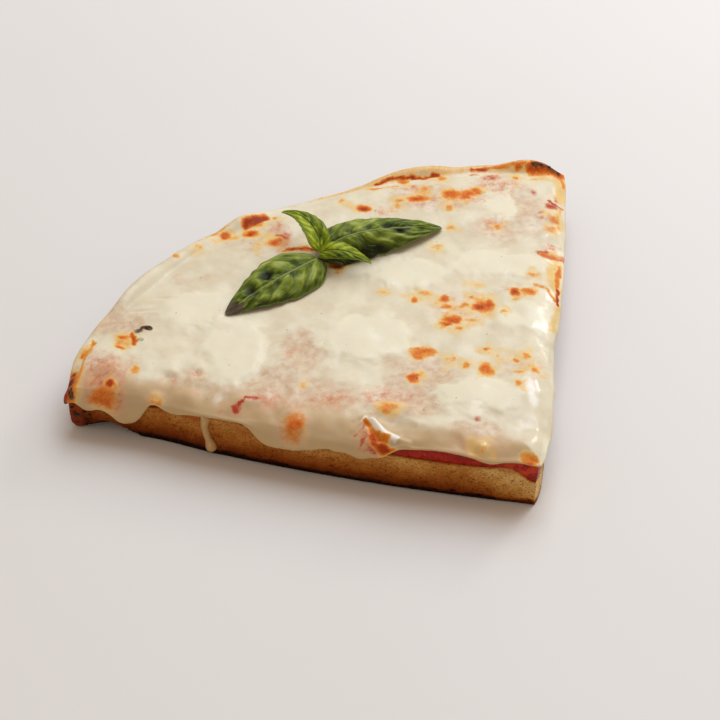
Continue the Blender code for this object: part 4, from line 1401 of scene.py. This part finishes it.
# %% Basil finish
def basil_finish(name, stops, vein_colour):
    """Green along a ramp of painted light and shade: deep in the shaded wells, fresh on the lit bulges,
    with stripes along the pale veins and a painted highlight on the margin.
    """
    finish = Finish(name)
    blotch, fine = finish.noise(3.5, 4.0), finish.noise(0.5, 3.0)
    vein, from_rib = finish.value("vein"), finish.value("from_rib")
    place = {0: vein * 3.4, 1: from_rib * 0.16, 2: blotch * 0.4}
    along_veins = finish.node("ShaderNodeCombineXYZ", {}, place)
    stripes = finish.node("ShaderNodeTexNoise", {}, {"Vector": along_veins, "Scale": 1.4, "Detail": 3.0})
    # level carries painted light and shade, with stripes and blotches of tone
    level = finish.value("level") + (stripes - 0.5) * 0.8 + (blotch - 0.5) * 0.4 + 0.37
    side_vein = ((vein.part() - 0.5).size() * 2.0).ramp(0.9, 0.99) * blotch.ramp(0.4, 0.6)
    rib = from_rib.ramp(0.45, 0.12)
    wilt = (finish.value("wilt") + (blotch - 0.5) * 0.4).ramp(0.3, 0.7)
    colour = finish.layers(
        finish.colours(level, stops),
        ((side_vein * 0.3).larger(rib * 0.7), vein_colour),
        # painted highlight along the margin
        (finish.value("margin") * 0.35, tint(134, 148, 60)),
        (wilt, finish.mix(fine, tint(70, 58, 44), tint(116, 104, 84))),
        (finish.value("under") * 0.5, tint(112, 132, 70)),
    )
    height = blotch * 0.5 + fine * 0.25 + stripes * 0.5 - side_vein * 0.5 - rib * 0.5
    return finish.surface(
        Base_Color=colour,
        Roughness=0.42 + fine * 0.15,
        Normal=finish.bump(height, 0.3, 0.7),
        Specular_IOR_Level=0.18,
        soft=(0.12, 1.0, (0.4, 1.0, 0.15)),
    )


# %% Basil
OLD_STOPS = (
    (0, 22, 26, 0), (0.3, 68, 82, 8), (0.55, 112, 126, 32), (0.78, 152, 164, 72), (1, 180, 186, 116),
)
YOUNG_STOPS = (
    (0, 38, 44, 0), (0.3, 94, 110, 2), (0.55, 136, 150, 10), (0.78, 174, 184, 52), (1, 190, 196, 110),
)
old_leaf = basil_finish("basil_leaf_finish", OLD_STOPS, tint(158, 172, 106))
young_leaf = basil_finish("basil_young_finish", YOUNG_STOPS, tint(166, 184, 96))
for seed, (name, leaf) in enumerate(LEAVES.items()):
    points, faces, values = make_leaf(name, leaf, seed)
    material = old_leaf if leaf["bulge"] > 0.5 else young_leaf
    make_piece(name.replace("basil", "fresh"), points, faces, material, "basil_green", name, values)

# %% [markdown]
# ## The stem and a strand of cheese
# Both are tubes: a circle of changing radius carried along a line. The stem was cut short and has
# darkened. The strand ran down the left cut while the cheese was hot, and ends in a blob.


# %% Tubes
def tube(path, radius, sides):
    """Points and faces of a round tube: at each path point a circle square to the path, and closed ends."""
    forward = np.gradient(path, axis=0)
    forward /= np.linalg.norm(forward, axis=1, keepdims=True)
    guide = np.array([0.0, 0.0, 1.0]) if abs(forward[:, 2]).mean() < 0.7 else np.array([1.0, 0.0, 0.0])
    side = np.cross(guide, forward)
    side /= np.linalg.norm(side, axis=1, keepdims=True)
    up = np.cross(forward, side)
    turn = np.linspace(0.0, 2.0 * math.pi, sides, endpoint=False)[None, :, None]
    circles = side[:, None] * np.cos(turn) + up[:, None] * np.sin(turn)
    rings = path[:, None] + radius[:, None, None] * circles
    points = np.concatenate((rings.reshape(-1, 3), path[:1], path[-1:]))
    numbers = new_rows(0, len(path), sides)
    first = fan_of_faces(numbers[0], len(points) - 2)[:, ::-1]
    last = fan_of_faces(numbers[-1], len(points) - 1)
    return points, (rings_of_faces(numbers), first, last)


STEM_FROM = (-2.5, 47.5, 27.0)
STEM_TO = (3.8, 38.6, 26.2)
STEM_RADIUS = 1.0
STRAND_AT = 125.0
STRAND_TOP = 20.0
STRAND_FALL = 17.8


def stem_finish():
    """Green going brown, with fine stripes along it."""
    finish = Finish("basil_stem_finish")
    stripes = finish.noise(0.6, 3.0)
    colour = finish.mix(stripes.ramp(0.3, 0.7), tint(48, 40, 20), tint(86, 88, 36))
    return finish.surface(Base_Color=colour, Roughness=0.5, Normal=finish.bump(stripes, 0.2, 0.6))


along = np.linspace(0.0, 1.0, 22)
stem_path = np.array(STEM_FROM) + (np.array(STEM_TO) - np.array(STEM_FROM)) * along[:, None]
rounded_ends = np.minimum(1.0, 0.55 + 6.0 * np.minimum(along, 1.0 - along))
stem_radius = STEM_RADIUS * (1.0 - 0.2 * along) * rounded_ends
make_piece("cut_stem", *tube(stem_path, stem_radius, 20), stem_finish(), "basil_green", "basil_stem")


# %% Strand
def strand_finish():
    """Clear, greasy cheese."""
    finish = Finish("strand_finish")
    cloudy = finish.noise(1.4, 3.0)
    colour = finish.mix(cloudy.ramp(0.3, 0.7), tint(206, 166, 104), tint(186, 144, 84))
    return finish.surface(
        Base_Color=colour,
        Roughness=0.22 + cloudy * 0.1,
        Normal=finish.bump(cloudy, 0.2, 0.5),
        soft=(0.3, 1.5, (1.0, 0.6, 0.3)),
        Coat_Weight=0.2,
        Coat_Roughness=0.1,
    )


fall = np.linspace(0.0, 1.0, 44)
start_x, start_y = spot(STRAND_AT + 1.0 * np.sin(5.0 * fall), 0.0)
stand = 0.35 + 0.25 * np.sin(7.0 * fall) ** 2
strand_z = STRAND_TOP - STRAND_FALL * fall
strand_path = np.stack((start_x + LEFT_OUT[0] * stand, start_y + LEFT_OUT[1] * stand, strand_z), axis=1)
strand_radius = 2.0 - 0.6 * ramp(0.0, 0.4, fall) + 0.8 * bell(fall, 0.86, 0.2) - 0.8 * ramp(0.93, 1.0, fall)
make_piece("cheese_strand", *tube(strand_path, strand_radius, 18), strand_finish(), "melted_cheese")

# %% [markdown]
# ## Flecks and flakes
# Specks of dried herb and pepper lie on the cheese, and a few burnt flakes cling to the corners of
# the crust. Each is a squashed eight-sided chip, turned and scaled at random and set on the surface.


# %% Chips
def chips(places, sizes, seed, flatness):
    """Points and faces of many octahedra: six corners each, squashed, spun and put in place."""
    dice = np.random.default_rng(seed)
    count = len(places)
    corners = np.array([(1, 0, 0), (0, 1, 0), (-1, 0, 0), (0, -1, 0), (0, 0, 1), (0, 0, -1)], float)
    shape = corners[None] * dice.uniform(0.5, 1.0, (count, 6, 1)) * sizes[:, None, None]
    shape[..., 0] *= dice.uniform(0.9, 1.6, (count, 1))
    shape[..., 2] *= flatness
    spin = dice.uniform(0.0, 2.0 * math.pi, (count, 1))
    x = shape[..., 0] * np.cos(spin) - shape[..., 1] * np.sin(spin)
    y = shape[..., 0] * np.sin(spin) + shape[..., 1] * np.cos(spin)
    points = np.stack((x, y, shape[..., 2]), axis=-1) + places[:, None]
    faces = np.array([(k, (k + 1) % 4, 4) for k in range(4)] + [((k + 1) % 4, k, 5) for k in range(4)])
    faces = (faces[None] + 6 * np.arange(count)[:, None, None]).reshape(-1, 3)
    return points.reshape(-1, 3), (faces,)


def speck_finish(name, dark, light):
    """A dark, dull colour that varies from chip to chip."""
    finish = Finish(name)
    shade = finish.noise(4.0, 2.0)
    colour = finish.mix(shade.ramp(0.35, 0.65), dark, light)
    grain = finish.bump(finish.noise(0.3, 2.0), 0.1, 0.5)
    return finish.surface(Base_Color=colour, Roughness=0.7, Normal=grain)


# %% Herb flecks
FLECKS = 60
FLECK_SEED = 5
dice = np.random.default_rng(FLECK_SEED)
fleck_radius = RIM_RADIUS * np.sqrt(dice.uniform(0.01, 0.92, FLECKS))
fleck_x, fleck_y = spot(fleck_radius, dice.beta(0.8, 0.9, FLECKS))
fleck_z = cheese_top(fleck_x, fleck_y) + 0.02
fleck_places = np.stack((fleck_x, fleck_y, fleck_z), axis=1)
fleck_mesh = chips(fleck_places, dice.uniform(0.12, 0.30, FLECKS), 6, 0.4)
herb = speck_finish("herb_finish", tint(58, 50, 34), tint(112, 84, 58))
make_piece("herb_flecks", *fleck_mesh, herb, "basil_green")

# %% Burnt flakes
# x, y, z and size of flakes on the left cut by its corner, on the right corner and beside the char
FLAKES = np.array(
    [
        (-119.6, 39.9, 7.2, 1.7), (-117.5, 37.6, 9.4, 1.5), (-120.6, 41.1, 10.8, 1.3),
        (-116.2, 36.1, 8, 1.2), (-119, 39.2, 12.6, 0.9), (116, 47.8, 26.4, 1.5),
        (118.6, 45.2, 25.4, 1.3), (113.4, 50, 26.9, 1), (-81.4, 50.4, 25.4, 0.9),
        (-83.4, 51, 25.3, 0.7), (-80.4, 49.9, 25.5, 0.6),
    ]
)
burnt = speck_finish("burnt_finish", tint(24, 20, 17), tint(66, 56, 46))
make_piece("burnt_flakes", *chips(FLAKES[:, :3], FLAKES[:, 3], 8, 0.5), burnt, "crumb")

# %% [markdown]
# ## Table, light and camera
# A pale table, one large soft light high on the far right with a small one beside it, and an even
# surround that fills the shadows. The camera looks down at the left cut from the front left.

# %% Table
TABLE_HALF = 3000.0
TABLE_BELOW = 0.05


def table_finish():
    """A warm white with a hardly visible cloudiness."""
    finish = Finish("table_finish")
    cloudy = finish.noise(160.0, 2.0)
    colour = finish.mix(cloudy, tint(230, 226, 222), tint(226, 222, 217))
    return finish.surface(Base_Color=colour, Roughness=0.6)


sides = ((-1, -1), (1, -1), (1, 1), (-1, 1))
corners = [(x * TABLE_HALF * MM, y * TABLE_HALF * MM, -TABLE_BELOW * MM) for x, y in sides]
table_mesh = bpy.data.meshes.new("table")
table_mesh.from_pydata(corners, [], [(0, 1, 2, 3)])
table_mesh.materials.append(table_finish())
table = new_object("table", table_mesh)


# %% Light
def aim(thing, place, target):
    """Puts a light or camera at a place in millimetres and turns its -Z axis to a target."""
    thing.location = [p * MM for p in place]
    away = np.array(place) - np.array(target)
    pitch = math.atan2(math.hypot(away[0], away[1]), away[2])
    thing.rotation_euler = (pitch, 0.0, math.atan2(away[0], -away[1]))


# Name, place, size, power and colour of each square light, which faces the middle of the slice
LIGHTS = (
    ("window_light", (880.0, 460.0, 1640.0), 1500.0, 27.8, (0.76, 0.87, 1.0)),
    ("side_light", (1085.0, 305.0, 642.0), 300.0, 3.0, (1.0, 0.98, 0.94)),
)
SURROUND_COLOUR = (1.0, 0.83, 0.68, 1.0)
SURROUND_STRENGTH = 0.47
for name, place, size, power, colour in LIGHTS:
    lamp = bpy.data.lights.new(name, "AREA")
    lamp.size = size * MM
    lamp.energy = power
    lamp.color = colour
    aim(new_object(name, lamp), place, (0.0, 0.0, 0.0))
world = bpy.data.worlds.new("surround")
world.use_nodes = True
surround = world.node_tree.nodes["Background"]
surround.inputs["Color"].default_value = SURROUND_COLOUR
surround.inputs["Strength"].default_value = SURROUND_STRENGTH
bpy.context.scene.world = world

# %% Camera
CAMERA_AT = (-282.23, -388.26, 433.50)
LOOK_AT = (-7.20, 10.41, 0.0)
LENS = 79.71
SENSOR_WIDTH = 36.0
FARTHEST_SEEN = 20.0
camera_data = bpy.data.cameras.new("camera")
camera_data.lens = LENS
camera_data.sensor_width = SENSOR_WIDTH
camera_data.clip_end = FARTHEST_SEEN
camera = new_object("camera", camera_data)
aim(camera, CAMERA_AT, LOOK_AT)
bpy.context.scene.camera = camera
bpy.context.scene.view_settings.view_transform = "Standard"
